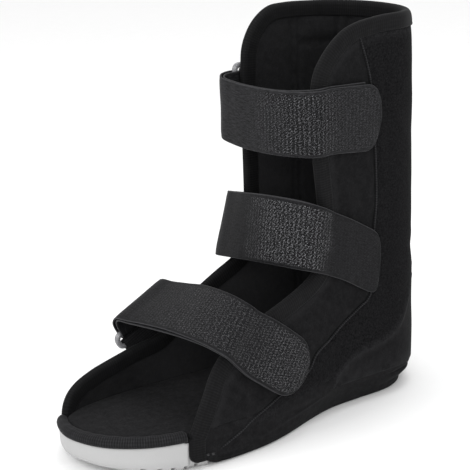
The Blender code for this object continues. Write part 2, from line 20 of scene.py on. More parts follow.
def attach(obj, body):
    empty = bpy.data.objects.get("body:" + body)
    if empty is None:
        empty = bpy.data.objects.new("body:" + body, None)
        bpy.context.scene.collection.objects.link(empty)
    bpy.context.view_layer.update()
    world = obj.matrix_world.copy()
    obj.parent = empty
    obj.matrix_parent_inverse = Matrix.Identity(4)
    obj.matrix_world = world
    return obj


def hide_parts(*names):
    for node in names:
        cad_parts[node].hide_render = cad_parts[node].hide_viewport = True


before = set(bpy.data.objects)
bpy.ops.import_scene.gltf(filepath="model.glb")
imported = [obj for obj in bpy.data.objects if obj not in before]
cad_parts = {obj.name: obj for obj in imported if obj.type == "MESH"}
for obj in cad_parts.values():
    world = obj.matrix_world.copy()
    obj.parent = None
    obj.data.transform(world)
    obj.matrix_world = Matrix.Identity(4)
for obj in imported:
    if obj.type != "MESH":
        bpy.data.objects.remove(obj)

LOG = logging.getLogger("post_operative_boot")
MM = 0.001
ORIGIN_FORWARD = 52.5
BODY = "root"
CHUNK = 2000
BANDS_PER_SCALE = 3.14
TAPE_THICK = 0.7
SETTLE_FRAMES = 12
Knots = Sequence[Sequence[float]]


class Side(Enum):
    """Side of the boot, as the sign of its distance across."""

    NEAR = 1
    FAR = -1


class Zone(Enum):
    """Places of the finishes in the shell's list of materials."""

    FLAP = 0
    PILE = 1
    COUNTER = 2
    LINING = 3


def metres(points: np.ndarray) -> np.ndarray:
    """Turns model points into metres from the middle of the heel's flat.

    Args:
        points: Across, forward and height in millimetres, one row each.

    Returns:
        The same points as X, Y and Z in metres.
    """
    points = np.asarray(points, float)
    return np.stack([points[..., 0], ORIGIN_FORWARD - points[..., 1], points[..., 2]], -1) * MM


def eased(low: float, high: float, place: np.ndarray) -> np.ndarray:
    """Zero below low, one above high, with a soft turn at both."""
    share = np.clip((np.asarray(place, float) - low) / (high - low), 0.0, 1.0)
    return share * share * (3.0 - 2.0 * share)


def bump_at(distance: np.ndarray, width: float) -> np.ndarray:
    """One at no distance, falling off softly over a width."""
    return np.exp(-((np.asarray(distance, float) / width) ** 2))


def steady_curve(places: Sequence[float], values: Sequence[float], at: np.ndarray) -> np.ndarray:
    """Smooth curve through the given values that never swings past them.

    Args:
        places: Rising places of the values.
        values: Value at each place.
        at: Places to read.

    Returns:
        The value at each asked place.
    """
    x, y = np.asarray(places, float), np.asarray(values, float)
    span, slope = np.diff(x), np.diff(y) / np.diff(x)
    tilt = np.zeros_like(y)
    same = slope[:-1] * slope[1:] > 0.0
    before, after = 2.0 * span[1:] + span[:-1], span[1:] + 2.0 * span[:-1]
    safe_low = np.where(same, slope[:-1], 1.0)
    safe_high = np.where(same, slope[1:], 1.0)
    tilt[1:-1] = np.where(same, (before + after) / (before / safe_low + after / safe_high), 0.0)
    tilt[-1] = slope[-1]
    i = np.clip(np.searchsorted(x, at) - 1, 0, len(span) - 1)
    t = np.clip((at - x[i]) / span[i], 0.0, 1.0)
    a, b = y[i], y[i + 1]
    return (a * (1.0 + 2.0 * t) * (1.0 - t) ** 2 + b * t * t * (3.0 - 2.0 * t)
            + tilt[i] * span[i] * t * (1.0 - t) ** 2 + tilt[i + 1] * span[i] * t * t * (t - 1.0))


def through(knots: Knots, spacing: float, closed: bool = False) -> np.ndarray:
    """Evenly spaced points of a smooth curve through the knots.

    Args:
        knots: Points that the curve passes through.
        spacing: Distance between the points that come back.
        closed: Whether the curve runs back to its first knot.

    Returns:
        One row for each point.
    """
    rows = np.asarray(knots, float)
    if closed:
        ring = np.vstack([rows[-1], rows, rows[0], rows[1]])
    else:
        ring = np.vstack([2.0 * rows[0] - rows[1], rows, 2.0 * rows[-1] - rows[-2]])
    fine = []
    for a, b, c, d in zip(ring[:-3], ring[1:-2], ring[2:-1], ring[3:]):
        t0 = 0.0
        t1 = t0 + max(np.linalg.norm(b - a), 1e-6) ** 0.5
        t2 = t1 + max(np.linalg.norm(c - b), 1e-6) ** 0.5
        t3 = t2 + max(np.linalg.norm(d - c), 1e-6) ** 0.5
        t = np.linspace(t1, t2, 16, endpoint=False)[:, None]
        ab = a + (b - a) * (t - t0) / (t1 - t0)
        bc = b + (c - b) * (t - t1) / (t2 - t1)
        cd = c + (d - c) * (t - t2) / (t3 - t2)
        abc = ab + (bc - ab) * (t - t0) / (t2 - t0)
        bcd = bc + (cd - bc) * (t - t1) / (t3 - t1)
        fine.append(abc + (bcd - abc) * (t - t1) / (t2 - t1))
    fine.append(ring[-2][None, :])
    line = np.vstack(fine)
    run = run_of(line)
    count = max(2, int(round(run[-1] / spacing)))
    at = np.linspace(0.0, run[-1], count + 1)
    if closed:
        at = at[:-1]
    return read_at(line, run, at)


def read_at(rows: np.ndarray, run: np.ndarray, at: np.ndarray) -> np.ndarray:
    """Rows read at places along their run."""
    return np.column_stack([np.interp(at, run, column) for column in rows.T])


def unit(rows: np.ndarray) -> np.ndarray:
    """Rows scaled to length one."""
    return rows / np.linalg.norm(rows, axis=-1)[..., None]


def run_of(points: np.ndarray) -> np.ndarray:
    """Length along a line at each of its points."""
    return np.concatenate([[0.0], np.cumsum(np.linalg.norm(np.diff(points, axis=0), axis=1))])


def distance_to(line: np.ndarray, points: np.ndarray) -> np.ndarray:
    """Distance from each point to a line of straight pieces.

    Args:
        line: Points of the line, one row each.
        points: Points to measure from.

    Returns:
        One distance for each point.
    """
    a, along = line[:-1], np.diff(line, axis=0)
    square = np.maximum((along ** 2).sum(1), 1e-9)
    best = np.full(len(points), 1e9)
    for start in range(0, len(points), CHUNK):
        part = points[start:start + CHUNK, None, :]
        share = np.clip(((part - a) * along).sum(2) / square, 0.0, 1.0)
        gap = np.linalg.norm(part - (a + along * share[..., None]), axis=2)
        best[start:start + CHUNK] = gap.min(1)
    return best


def waves(points: np.ndarray, size: float, seed: int) -> np.ndarray:
    """Soft unevenness, from a few crossed sine waves with seeded directions.

    Args:
        points: Flat or solid points in millimetres.
        size: Rough distance between two swells.
        seed: Seed of the directions.

    Returns:
        A value between about -1 and 1 for each point.
    """
    chance = np.random.default_rng(seed)
    total = np.zeros(len(points))
    for _ in range(6):
        direction = chance.normal(size=points.shape[1])
        direction *= 2.0 * math.pi / (size * chance.uniform(0.7, 1.6)) / np.linalg.norm(direction)
        total += np.sin(points @ direction + chance.uniform(0.0, 6.28))
    return total / 3.0


def nothing_selected() -> None:
    """Leaves edit mode and deselects every object."""
    if bpy.context.mode != "OBJECT":
        bpy.ops.object.mode_set(mode="OBJECT")
    bpy.ops.object.select_all(action="DESELECT")


def make_active(obj: Object) -> None:
    """Selects one object alone and makes it the active one."""
    nothing_selected()
    obj.select_set(True)
    bpy.context.view_layer.objects.active = obj


def apply_modifiers(obj: Object) -> None:
    """Turns the object's modifiers into its mesh, in their order."""
    make_active(obj)
    for modifier in list(obj.modifiers):
        bpy.ops.object.modifier_apply(modifier=modifier.name)


def face_outward(obj: Object) -> None:
    """Turns the faces of a closed piece outward and shades it smooth."""
    make_active(obj)
    bpy.ops.object.mode_set(mode="EDIT")
    bpy.ops.mesh.select_all(action="SELECT")
    bpy.ops.mesh.normals_make_consistent(inside=False)
    bpy.ops.object.mode_set(mode="OBJECT")
    bpy.ops.object.shade_smooth()


def thickened(obj: Object) -> None:
    """Gives an open tape its thickness, inward from its outer face."""
    obj.modifiers.new("thickness", "SOLIDIFY").thickness = TAPE_THICK * MM
    obj.modifiers[0].offset = -1.0
    apply_modifiers(obj)


def meshed(name: str, points: np.ndarray, faces: list) -> Object:
    """New object in the scene, from points in millimetres and faces."""
    mesh = bpy.data.meshes.new(name)
    mesh.from_pydata(metres(points).tolist(), [], faces)
    obj = bpy.data.objects.new(name, mesh)
    bpy.context.scene.collection.objects.link(obj)
    return obj


def swept(name: str, rings: np.ndarray, closed_section: bool, fill_ends: bool,
          across: np.ndarray | None = None) -> Object:
    """Shapes a grid into a sweep, with its length and width as a flat map in metres.

    Args:
        name: Name of the piece.
        rings: Stations by section points by three, in millimetres.
        closed_section: Whether the section joins up with its own start.
        fill_ends: Whether the open ends are closed with faces.
        across: Place of each section point on the map, or None for its own run.

    Returns:
        The new object, smooth and with its faces outward.
    """
    if closed_section:
        rings = np.concatenate([rings, rings[:, :1]], axis=1)
    stations, count = rings.shape[:2]
    nothing_selected()
    bpy.ops.mesh.primitive_grid_add(x_subdivisions=count - 1, y_subdivisions=stations - 1, size=1.0)
    obj = bpy.context.object
    obj.name = name
    obj.data.name = name
    mesh = obj.data
    mesh.vertices.foreach_set("co", metres(rings).astype(np.float32).ravel())
    middle = rings.mean(axis=1)
    along = run_of(middle if np.ptp(middle, axis=0).max() > 1.0 else rings[:, 0])
    if across is None:
        across = run_of(rings[stations // 2])
    elif closed_section:
        across = np.append(across, across[-1] + 1.0)
    corner = np.empty(len(mesh.loops), np.int32)
    mesh.loops.foreach_get("vertex_index", corner)
    flat = np.stack([along[corner // count], across[corner % count]], -1) * MM
    mesh.uv_layers[0].name = "weave"
    mesh.uv_layers[0].data.foreach_set("uv", flat.astype(np.float32).ravel())
    bpy.ops.object.mode_set(mode="EDIT")
    bpy.ops.mesh.select_all(action="SELECT")
    if closed_section:
        bpy.ops.mesh.remove_doubles(threshold=1e-6)
    if fill_ends:
        bpy.ops.mesh.fill_holes(sides=0)
        bpy.ops.mesh.select_all(action="SELECT")
        bpy.ops.mesh.normals_make_consistent(inside=False)
    bpy.ops.object.mode_set(mode="OBJECT")
    bpy.ops.object.shade_smooth()
    return obj


def finished(obj: Object, node: str | None, slot: str,
             *materials: Material) -> Object:
    """Dresses a piece, lets it ride and hides the plain solid that it stands for.

    Args:
        obj: The finished mesh.
        node: Solid that the piece replaces, if any.
        slot: The record's name for its finish; not used.
        materials: Finishes in the order of the mesh's places for them.

    Returns:
        The same object.
    """
    if materials:
        obj.data.materials.clear()
        for material in materials:
            obj.data.materials.append(material)
    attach(obj, BODY)
    if node:
        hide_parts(node)
    LOG.info("%s: %d vertices", obj.name, len(obj.data.vertices))
    return obj


@dataclass(frozen=True)
class Last:
    """Form of the foot and leg that the upper is wrapped round."""

    heel_radius: float = 45.6
    collar_lean: float = 2.4
    blend: tuple[float, float] = (25.0, 115.0)
    places: tuple[float, ...] = (45.6, 75, 100, 130, 160, 190, 225, 250, 271, 286, 299, 306, 308.5)
    far: tuple[float, ...] = (45.6, 44, 43.5, 45.5, 49, 51.5, 53, 52.5, 50, 45.5, 36, 22, 9)
    near: tuple[float, ...] = (45.6, 45, 45.5, 50.5, 56, 59, 58.5, 54.5, 47.5, 37.5, 23, 7, -9)
    shaft_places: tuple[float, ...] = (45.6, 80, 125, 180, 320)
    shaft_far: tuple[float, ...] = (45.6, 45.2, 45, 47, 47)
    shaft_near: tuple[float, ...] = (45.6, 45, 44, 46, 46)

    @property
    def heel_arc(self) -> float:
        """Length of a quarter of the heel's round."""
        return self.heel_radius * math.pi / 2.0

    def path_of(self, side: Side, forward: float) -> float:
        """Path length from the heel's middle to a forward place on one side."""
        if forward < self.heel_radius:
            return side.value * self.heel_radius * math.acos(1.0 - forward / self.heel_radius)
        return side.value * (self.heel_arc + forward - self.heel_radius)

    def forward_of(self, path: np.ndarray) -> np.ndarray:
        """Forward place at a path length."""
        length = np.abs(np.asarray(path, float))
        turn = np.minimum(length, self.heel_arc) / self.heel_radius
        return np.where(length < self.heel_arc, self.heel_radius * (1.0 - np.cos(turn)),
                        self.heel_radius + length - self.heel_arc)

    def skin(self, path: np.ndarray, height: np.ndarray) -> np.ndarray:
        """Outer skin of the upper.

        Args:
            path: Path length from the heel's middle, positive on the near side.
            height: Height above the floor.

        Returns:
            Across, forward and height of each point.
        """
        path, height = np.asarray(path, float), np.asarray(height, float)
        near = path >= 0.0
        length = np.abs(path)
        turn = np.minimum(length, self.heel_arc) / self.heel_radius
        forward = self.forward_of(path)
        foot = np.where(near, steady_curve(self.places, self.near, forward),
                        steady_curve(self.places, self.far, forward))
        shaft = np.where(near, steady_curve(self.shaft_places, self.shaft_near, forward),
                         steady_curve(self.shaft_places, self.shaft_far, forward))
        wide = foot + (shaft - foot) * eased(*self.blend, height)
        wide = np.where(length < self.heel_arc, self.heel_radius * np.sin(turn), wide)
        lean = self.collar_lean * eased(272.0, 298.0, height) * (1.0 - eased(40.0, 95.0, length))
        wide = wide - lean * np.sin(turn)
        return np.stack([np.where(near, wide, -wide), forward + lean * np.cos(turn), height], -1)

    def stand(self, path: np.ndarray, height: np.ndarray, offset: np.ndarray) -> np.ndarray:
        """Points that stand off the skin by an offset, outward positive."""
        path, height = np.asarray(path, float), np.asarray(height, float)
        normal = self.normal(path, height)
        return self.skin(path, height) + normal * np.broadcast_to(offset, path.shape)[..., None]

    def normal(self, path: np.ndarray, height: np.ndarray) -> np.ndarray:
        """Outward unit normals of the skin."""
        step = 1.5
        along = self.skin(path + step, height) - self.skin(path - step, height)
        rise = self.skin(path, height + step) - self.skin(path, height - step)
        normal = np.cross(along, rise)
        return unit(normal)


@dataclass(frozen=True)
class Plan:
    """Outline of the foot at the sole's top, and the steps of the sole's side under it."""

    last: Last
    spacing: float = 3.0
    rand_end: float = 249.0
    heel_levels: tuple[float, ...] = (0, 1.6, 6, 7.6, 9.6, 13, 15, 16.4, 17.8, 21)
    heel_insets: tuple[float, ...] = (11.5, 9.6, 8.6, 9, 5.2, 2.2, 2.4, 3.8, 1, 0)
    side_levels: tuple[float, ...] = (0, 1.6, 21)
    side_insets: tuple[float, ...] = (9.6, 8.6, 0)
    front_levels: tuple[float, ...] = (0, 2, 7.4, 14.6, 21)
    front_insets: tuple[float, ...] = (2.6, 1, 0.4, 0.2, 0)
    spring_places: tuple[float, ...] = (215, 240, 265, 290, 310)
    spring: tuple[float, ...] = (0, 0.7, 2.4, 5.2, 8)
    waist: tuple[float, float, float] = (102, 128, 2.5)
    toe_tip: float = -9.0

    def outline(self) -> tuple[np.ndarray, np.ndarray]:
        """Closed outline, from the near side's toe round the heel's far side.

        Returns:
            The points across and forward, and their outward normals.
        """
        last = self.last
        knots = [(x, s) for x, s in zip(last.near, last.places)]
        knots += [(-x, s) for x, s in list(zip(last.far, last.places))[:-1][::-1]]
        for k in range(1, 12):
            turn = math.pi / 2.0 - math.pi * k / 12.0
            knots.append((-last.heel_radius * math.sin(turn), last.heel_radius * (1.0 - math.cos(turn))))
        line = through(knots, self.spacing, closed=True)
        tangent = np.roll(line, -1, axis=0) - np.roll(line, 1, axis=0)
        normal = unit(np.column_stack([-tangent[:, 1], tangent[:, 0]]))
        area = 0.5 * np.sum(line[:, 0] * np.roll(line[:, 1], -1) - np.roll(line[:, 0], -1) * line[:, 1])
        if area > 0.0:
            normal = -normal
        return line, normal

    def inset(self, height: np.ndarray, forward: np.ndarray) -> np.ndarray:
        """How far the side stands in from the outline at a height."""
        heel = np.interp(height, self.heel_levels, self.heel_insets)
        middle = np.interp(height, self.side_levels, self.side_insets)
        front = np.interp(height, self.front_levels, self.front_insets)
        middle = middle + (front - middle) * eased(100.0, 190.0, forward)
        return heel + (middle - heel) * eased(24.0, 58.0, forward)

    def tread(self, forward: np.ndarray) -> np.ndarray:
        """Height of the tread, with its toe spring and shallow waist."""
        low, high, rise = self.waist
        arch = rise * np.sin(math.pi * np.clip((forward - low) / (high - low), 0.0, 1.0))
        return np.interp(forward, self.spring_places, self.spring) + arch

    def near_side(self, forward: np.ndarray, height: np.ndarray, offset: float) -> np.ndarray:
        """Points of the near side's covered sole edge, standing off it by an offset."""
        line, normal = self.outline()
        keep = (line[:, 0] > 0.0) & (line[:, 1] > 40.0)
        order = np.argsort(line[keep][:, 1])
        line, normal = line[keep][order], normal[keep][order]
        base = [np.interp(forward, line[:, 1], column) for column in (line[:, 0], line[:, 1])]
        lean = [np.interp(forward, line[:, 1], column) for column in (normal[:, 0], normal[:, 1])]
        out = offset - self.inset(height, forward)
        return np.stack([base[0] + lean[0] * out, base[1] + lean[1] * out, height], -1)


def linear(code: str) -> tuple[float, float, float, float]:
    """Linear colour of an sRGB hex value."""
    parts = [int(code[i:i + 2], 16) / 255.0 for i in (1, 3, 5)]
    red, green, blue = [p / 12.92 if p <= 0.04045 else ((p + 0.055) / 1.055) ** 2.4 for p in parts]
    return (red, green, blue, 1.0)


def per_metre(size_mm: float) -> float:
    """Pattern scale of a detail that measures this many millimetres."""
    return 1000.0 / size_mm


def add_node(tree: NodeTree, kind: str, inputs: dict | None = None, **settings) -> Node:
    """Adds a node with its values, links and settings.

    Args:
        tree: Tree that the node goes into.
        kind: The node's type.
        inputs: Input names or numbers, each with a value or with a socket to link from.
        settings: The node's own settings by name.

    Returns:
        The new node.
    """
    node = tree.nodes.new(kind)
    for name, value in settings.items():
        setattr(node, name, value)
    for name, value in (inputs or {}).items():
        if isinstance(value, NodeSocket):
            tree.links.new(value, node.inputs[name])
        else:
            node.inputs[name].default_value = value
    return node


def start_material(name: str, tint: str | None = None,
                   **values: float) -> tuple[Material, NodeTree, Node]:
    """Opens a material.

    Args:
        name: Name of the real material.
        tint: Hex colour of the sheen, if the material has one.
        values: Constants of the main shader, with underscores for blanks.

    Returns:
        The material, its tree and its main shader.
    """
    material = bpy.data.materials.new(name)
    material.use_nodes = True
    tree = material.node_tree
    shader = tree.nodes["Principled BSDF"]
    for key, value in values.items():
        shader.inputs[key.replace("_", " ")].default_value = value
    if tint:
        shader.inputs["Sheen Tint"].default_value = linear(tint)
    return material, tree, shader


def object_place(tree: NodeTree) -> NodeSocket:
    """Place on the object, in metres."""
    return add_node(tree, "ShaderNodeTexCoord").outputs["Object"]


def weave_run(tree: NodeTree) -> NodeSocket:
    """Place along and across a swept piece, in metres."""
    return add_node(tree, "ShaderNodeUVMap", uv_map="weave").outputs["UV"]


def noise(tree: NodeTree, where: NodeSocket, size_mm: float, detail: float, roughness: float = 0.5,
          distortion: float = 0.0, **settings) -> NodeSocket:
    """Uneven pattern whose patches measure about size_mm."""
    return add_node(tree, "ShaderNodeTexNoise", {
        "Vector": where, "Scale": per_metre(size_mm), "Detail": detail, "Roughness": roughness,
        "Distortion": distortion}, **settings).outputs["Fac"]


def bands(tree: NodeTree, where: NodeSocket, size_mm: float, across: str, distortion: float,
          detail: float, detail_scale: float) -> NodeSocket:
    """Woven ribs about size_mm apart, which follow one another along the axis named across."""
    return add_node(tree, "ShaderNodeTexWave", {
        "Vector": where, "Scale": per_metre(size_mm) / BANDS_PER_SCALE, "Distortion": distortion,
        "Detail": detail, "Detail Scale": detail_scale}, bands_direction=across).outputs["Fac"]


def maths(tree: NodeTree, operation: str, *values: NodeSocket | float) -> NodeSocket:
    """Result of one operation on sockets and numbers."""
    return add_node(tree, "ShaderNodeMath", dict(enumerate(values)), operation=operation).outputs[0]


def ranged(tree: NodeTree, value: NodeSocket, start: float, end: float, low: float = 0.0,
           high: float = 1.0, **settings) -> NodeSocket:
    """Value that goes from low to high while the given one goes from start to end."""
    return add_node(tree, "ShaderNodeMapRange", {
        "Value": value, "From Min": start, "From Max": end, "To Min": low, "To Max": high},
        **settings).outputs[0]


def blend(tree: NodeTree, share: NodeSocket, first: NodeSocket | Sequence[float],
          second: NodeSocket | Sequence[float]) -> NodeSocket:
    """Colour between two others."""
    return add_node(tree, "ShaderNodeMix", {"Factor": share, "A": first, "B": second},
                    data_type="RGBA").outputs["Result"]


def two_tone(tree: NodeTree, share: NodeSocket, dark: str, light: str, low: float, high: float) -> Node:
    """Ramp from a dark hex colour at low to a light one at high."""
    ramp = add_node(tree, "ShaderNodeValToRGB", {"Fac": share})
    for number, (place, code) in enumerate(((low, dark), (high, light))):
        ramp.color_ramp.elements[number].position = place
        ramp.color_ramp.elements[number].color = linear(code)
    return ramp


def surface(tree: NodeTree, shader: Node, colour: NodeSocket, height: NodeSocket, strength: float,
            relief_mm: float) -> None:
    """Gives the main shader its colour, and a bump from a height of relief_mm."""
    bump = add_node(tree, "ShaderNodeBump", {
        "Height": height, "Strength": strength, "Distance": relief_mm * MM})
    tree.links.new(colour, shader.inputs["Base Color"])
    tree.links.new(bump.outputs["Normal"], shader.inputs["Normal"])


def rubbed_and_painted_light(tree: NodeTree, colour: NodeSocket) -> NodeSocket:
    """Greys a cloth's colour by the share that the piece's own points carry: rubbed nap, a painted
    highlight along ridges and painted fill light on the lining.
    """
    wear_and_ridge_highlight = add_node(tree, "ShaderNodeAttribute", attribute_name="rubbed_and_painted_light")
    return blend(tree, wear_and_ridge_highlight.outputs["Fac"], colour, linear("#4c4c4e"))


@dataclass(frozen=True)
class NappedCloth:
    """Brushed knit laminated on foam: matt, with a soft nap that lightens at a glancing view."""

    name: str
    dark: str
    light: str
    grain_mm: float = 1.5
    blotch_mm: float = 5.0
    relief_mm: float = 0.25
    tint: str = "#9a9a9c"

    def material(self) -> Material:
        """Material of this cloth."""
        material, tree, shader = start_material(
            self.name, self.tint, Roughness=0.95, Sheen_Weight=0.05, Sheen_Roughness=0.45,
            Specular_IOR_Level=0.08)
        place = object_place(tree)
        grain = noise(tree, place, self.grain_mm, 3.0, 0.6)
        blotch = noise(tree, place, self.blotch_mm, 4.0, 0.55)
        both = maths(tree, "MULTIPLY", grain, blotch)
        shade = two_tone(tree, both, self.dark, self.light, 0.09, 0.46)
        surface(tree, shader, rubbed_and_painted_light(tree, shade.outputs["Color"]), grain, 0.8, self.relief_mm)
        return material


@dataclass(frozen=True)
class LoopPile:
    """Unbroken nylon loop that the straps' hooks grip: dull and curly, with painted shade in the pits
    between tufts.
    """

    name: str = "nylon_loop_pile"
    dark: str = "#060607"
    light: str = "#1d1d1e"
    tuft_mm: float = 1.3
    curl_mm: float = 0.75
    tint: str = "#8e8e90"

    def material(self) -> Material:
        """Material of the pile."""
        material, tree, shader = start_material(
            self.name, self.tint, Roughness=0.94, Sheen_Weight=0.015, Sheen_Roughness=0.5,
            Specular_IOR_Level=0.05)
        place = object_place(tree)
        tuft = noise(tree, place, self.tuft_mm, 2.0, distortion=0.6)
        curl = add_node(tree, "ShaderNodeTexVoronoi", {
            "Vector": place, "Scale": per_metre(self.curl_mm), "Randomness": 1.0})
        # Tone and bump follow the same relief, so the pits between tufts carry painted shade.
        relief_and_pit_shade = maths(tree, "MULTIPLY_ADD", curl.outputs["Distance"], 0.22, tuft)
        shade = two_tone(tree, relief_and_pit_shade, self.dark, self.light, 0.42, 0.84)
        surface(tree, shader, rubbed_and_painted_light(tree, shade.outputs["Color"]), relief_and_pit_shade, 0.6, 0.3)
        return material


@dataclass(frozen=True)
class RibbedTape:
    """Woven nylon edge tape, a little lighter than the cloth, whose ribs take the light one by one."""

    name: str
    dark: str = "#09090a"
    light: str = "#171718"
    rib_mm: float = 1.9
    thread_mm: float = 2.6
    tint: str = "#a6a6a8"

    def material(self) -> Material:
        """Material of the tape, whose ribs follow its own length."""
        material, tree, shader = start_material(
            self.name, self.tint, Roughness=0.8, Sheen_Weight=0.06, Sheen_Roughness=0.4,
            Specular_IOR_Level=0.12)
        run = weave_run(tree)
        ribs = bands(tree, run, self.rib_mm, "X", 1.6, 1.0, 1.2)
        threads = bands(tree, run, self.thread_mm, "Y", 1.2, 1.0, 1.5)
        fuzz = noise(tree, object_place(tree), 5.0, 5.0, 0.65)
        weave = maths(tree, "MULTIPLY_ADD", threads, 0.35, ribs)
        shade = two_tone(tree, maths(tree, "MULTIPLY", weave, fuzz), self.dark, self.light, 0.1, 0.75)
        surface(tree, shader, shade.outputs["Color"], weave, 0.16, 0.22)
        return material


@dataclass(frozen=True)
class HookWebbing:
    """Nylon strap, brushed and plain by its ring, with a field of woven hooks further on whose glints are
    painted highlights.
    """

    name: str
    hooks_mm: tuple[float, float, float, float]
    width_mm: float
    strength: float = 1.0
    beyond: float = 0.35
    slant: float = 0.6
    dark: str = "#101011"
    light: str = "#262628"
    gap: str = "#0a0a0b"
    loop: str = "#1d1d1f"
    # Colour of the painted highlights on the hooks and edges.
    painted_glint: str = "#8a8a8d"
    tint: str = "#b0b0b2"
    streak_mm: float = 0.9
    streak_squeeze: float = 0.16
    knot_mm: float = 0.85
    twill_mm: float = 1.9
    column_mm: float = 3.4
    selvedge_mm: float = 2.0
    wander_m: float = 0.024

    def material(self) -> Material:
        """Material of one strap, laid out along its own length."""
        material, tree, shader = start_material(
            self.name, self.tint, Roughness=0.6, Sheen_Weight=0.02, Sheen_Roughness=0.35,
            Specular_IOR_Level=0.1)
        run = weave_run(tree)
        parts = add_node(tree, "ShaderNodeSeparateXYZ", {0: run})
        middle = maths(tree, "ADD", parts.outputs[1], -0.5 * self.width_mm * MM)
        aside = maths(tree, "ABSOLUTE", middle)
        inside = self.hooked_share(tree, run, parts.outputs[0], aside)
        painted_glints = self.painted_glints(tree, run)
        drawn = add_node(tree, "ShaderNodeMapping", {
            "Vector": run, "Scale": (self.streak_squeeze, 1.0, 1.0)})
        streaks = noise(tree, drawn.outputs[0], self.streak_mm, 3.0, 0.6, noise_dimensions="2D")
        # Painted highlight: the hooked field runs from the dark gaps through the loop colour to the painted
        # glint colour.
        hooked = two_tone(tree, painted_glints, self.gap, self.painted_glint, 0.0, 1.0)
        halfway = hooked.color_ramp.elements.new(0.22)
        halfway.color = linear(self.loop)
        plain = two_tone(tree, streaks, self.dark, self.light, 0.34, 0.66)
        colour = blend(tree, inside, plain.outputs["Color"], hooked.outputs["Color"])
        # Painted highlight along the strap's edges, mixed toward the glint colour.
        half = 0.5 * self.width_mm
        edge_highlight = ranged(tree, aside, (half - 0.7) * MM, half * MM, 0.0, 0.16)
        relief = add_node(tree, "ShaderNodeMix", {"Factor": inside, "A": streaks, "B": painted_glints})
        surface(tree, shader, blend(tree, edge_highlight, colour, linear(self.painted_glint)),
                relief.outputs["Result"], 0.6, 0.35)
        tree.links.new(ranged(tree, painted_glints, 0.0, 1.0, 0.62, 0.35), shader.inputs["Roughness"])
        return material

    def hooked_share(self, tree: NodeTree, run: NodeSocket, length: NodeSocket,
                     aside: NodeSocket) -> NodeSocket:
        """Share of woven hooks, which start and fade along the strap and stop at its selvedges."""
        cloud = noise(tree, run, 16.0, 3.0, 0.6, noise_dimensions="2D")
        wander = maths(tree, "MULTIPLY_ADD", cloud, self.wander_m, length)
        start, full, fade, end = (v * MM + 0.5 * self.wander_m for v in self.hooks_mm)
        coming = ranged(tree, wander, start, full, interpolation_type="SMOOTHSTEP")
        going = ranged(tree, wander, fade, end, self.strength, self.beyond,
                       interpolation_type="SMOOTHSTEP")
        field_half = 0.5 * self.width_mm - self.selvedge_mm
        within = ranged(tree, aside, (field_half - 0.6) * MM, field_half * MM, 1.0, 0.0)
        return maths(tree, "MULTIPLY", maths(tree, "MULTIPLY", coming, going), within)

    def painted_glints(self, tree: NodeTree, run: NodeSocket) -> NodeSocket:
        """Painted glints of the hooks: bright points that lie on the knots and gather along the twill."""
        slope = add_node(tree, "ShaderNodeMapping", {"Vector": run, "Rotation": (0.0, 0.0, self.slant)})
        twill = bands(tree, slope.outputs[0], self.twill_mm, "Y", 1.8, 2.0, 2.5)
        columns = bands(tree, run, self.column_mm, "X", 0.8, 1.0, 3.0)
        knots = add_node(tree, "ShaderNodeTexVoronoi", {
            "Vector": run, "Scale": per_metre(self.knot_mm), "Randomness": 0.7}, voronoi_dimensions="2D")
        spark = noise(tree, run, 1.2, 3.0, 0.75, noise_dimensions="2D")
        sums = maths(tree, "MULTIPLY_ADD", maths(tree, "ADD", twill, columns), 0.11, spark)
        dots = ranged(tree, knots.outputs["Distance"], 0.5, 0.18)
        return maths(tree, "MULTIPLY", dots, ranged(tree, sums, 0.5, 0.76))


@dataclass(frozen=True)
class MouldedFoam:
    """Light grey moulded EVA: closed cells give an even, slightly pebbled and half matt face."""

    name: str = "grey_moulded_eva"
    pale: str = "#ababab"
    dull: str = "#949495"
    pebble_mm: float = 0.9

    def material(self) -> Material:
        """Material of the sole, duller in patches towards the floor."""
        material, tree, shader = start_material(
            self.name, Roughness=0.55, Specular_IOR_Level=0.4, IOR=1.48)
        place = object_place(tree)
        cells = noise(tree, place, self.pebble_mm, 3.0, 0.6)
        greying = noise(tree, place, 14.0, 4.0, 0.6)
        height = add_node(tree, "ShaderNodeSeparateXYZ", {0: place})
        low = ranged(tree, height.outputs[2], 0.0, 0.011, 0.75, 0.1)
        colour = blend(tree, maths(tree, "MULTIPLY", greying, low), linear(self.pale), linear(self.dull))
        surface(tree, shader, colour, cells, 0.35, 0.2)
        return material


@dataclass(frozen=True)
class HardFinish:
    """Moulded nylon or spun thread: one colour with faint flow marks and its own gloss."""

    name: str
    colour: str
    mark: str
    roughness: float
    mark_mm: float = 3.0
    coat: float = 0.0
    clear: float = 0.0

    def material(self) -> Material:
        """Material of the hard piece or thread."""
        material, tree, shader = start_material(
            self.name, Roughness=self.roughness, IOR=1.53, Coat_Weight=self.coat, Coat_Roughness=0.15,
            Transmission_Weight=self.clear)
        flow = noise(tree, object_place(tree), self.mark_mm, 3.0, distortion=0.8)
        colour = blend(tree, flow, linear(self.colour), linear(self.mark))
        surface(tree, shader, colour, flow, 0.4, 0.05)
        return material


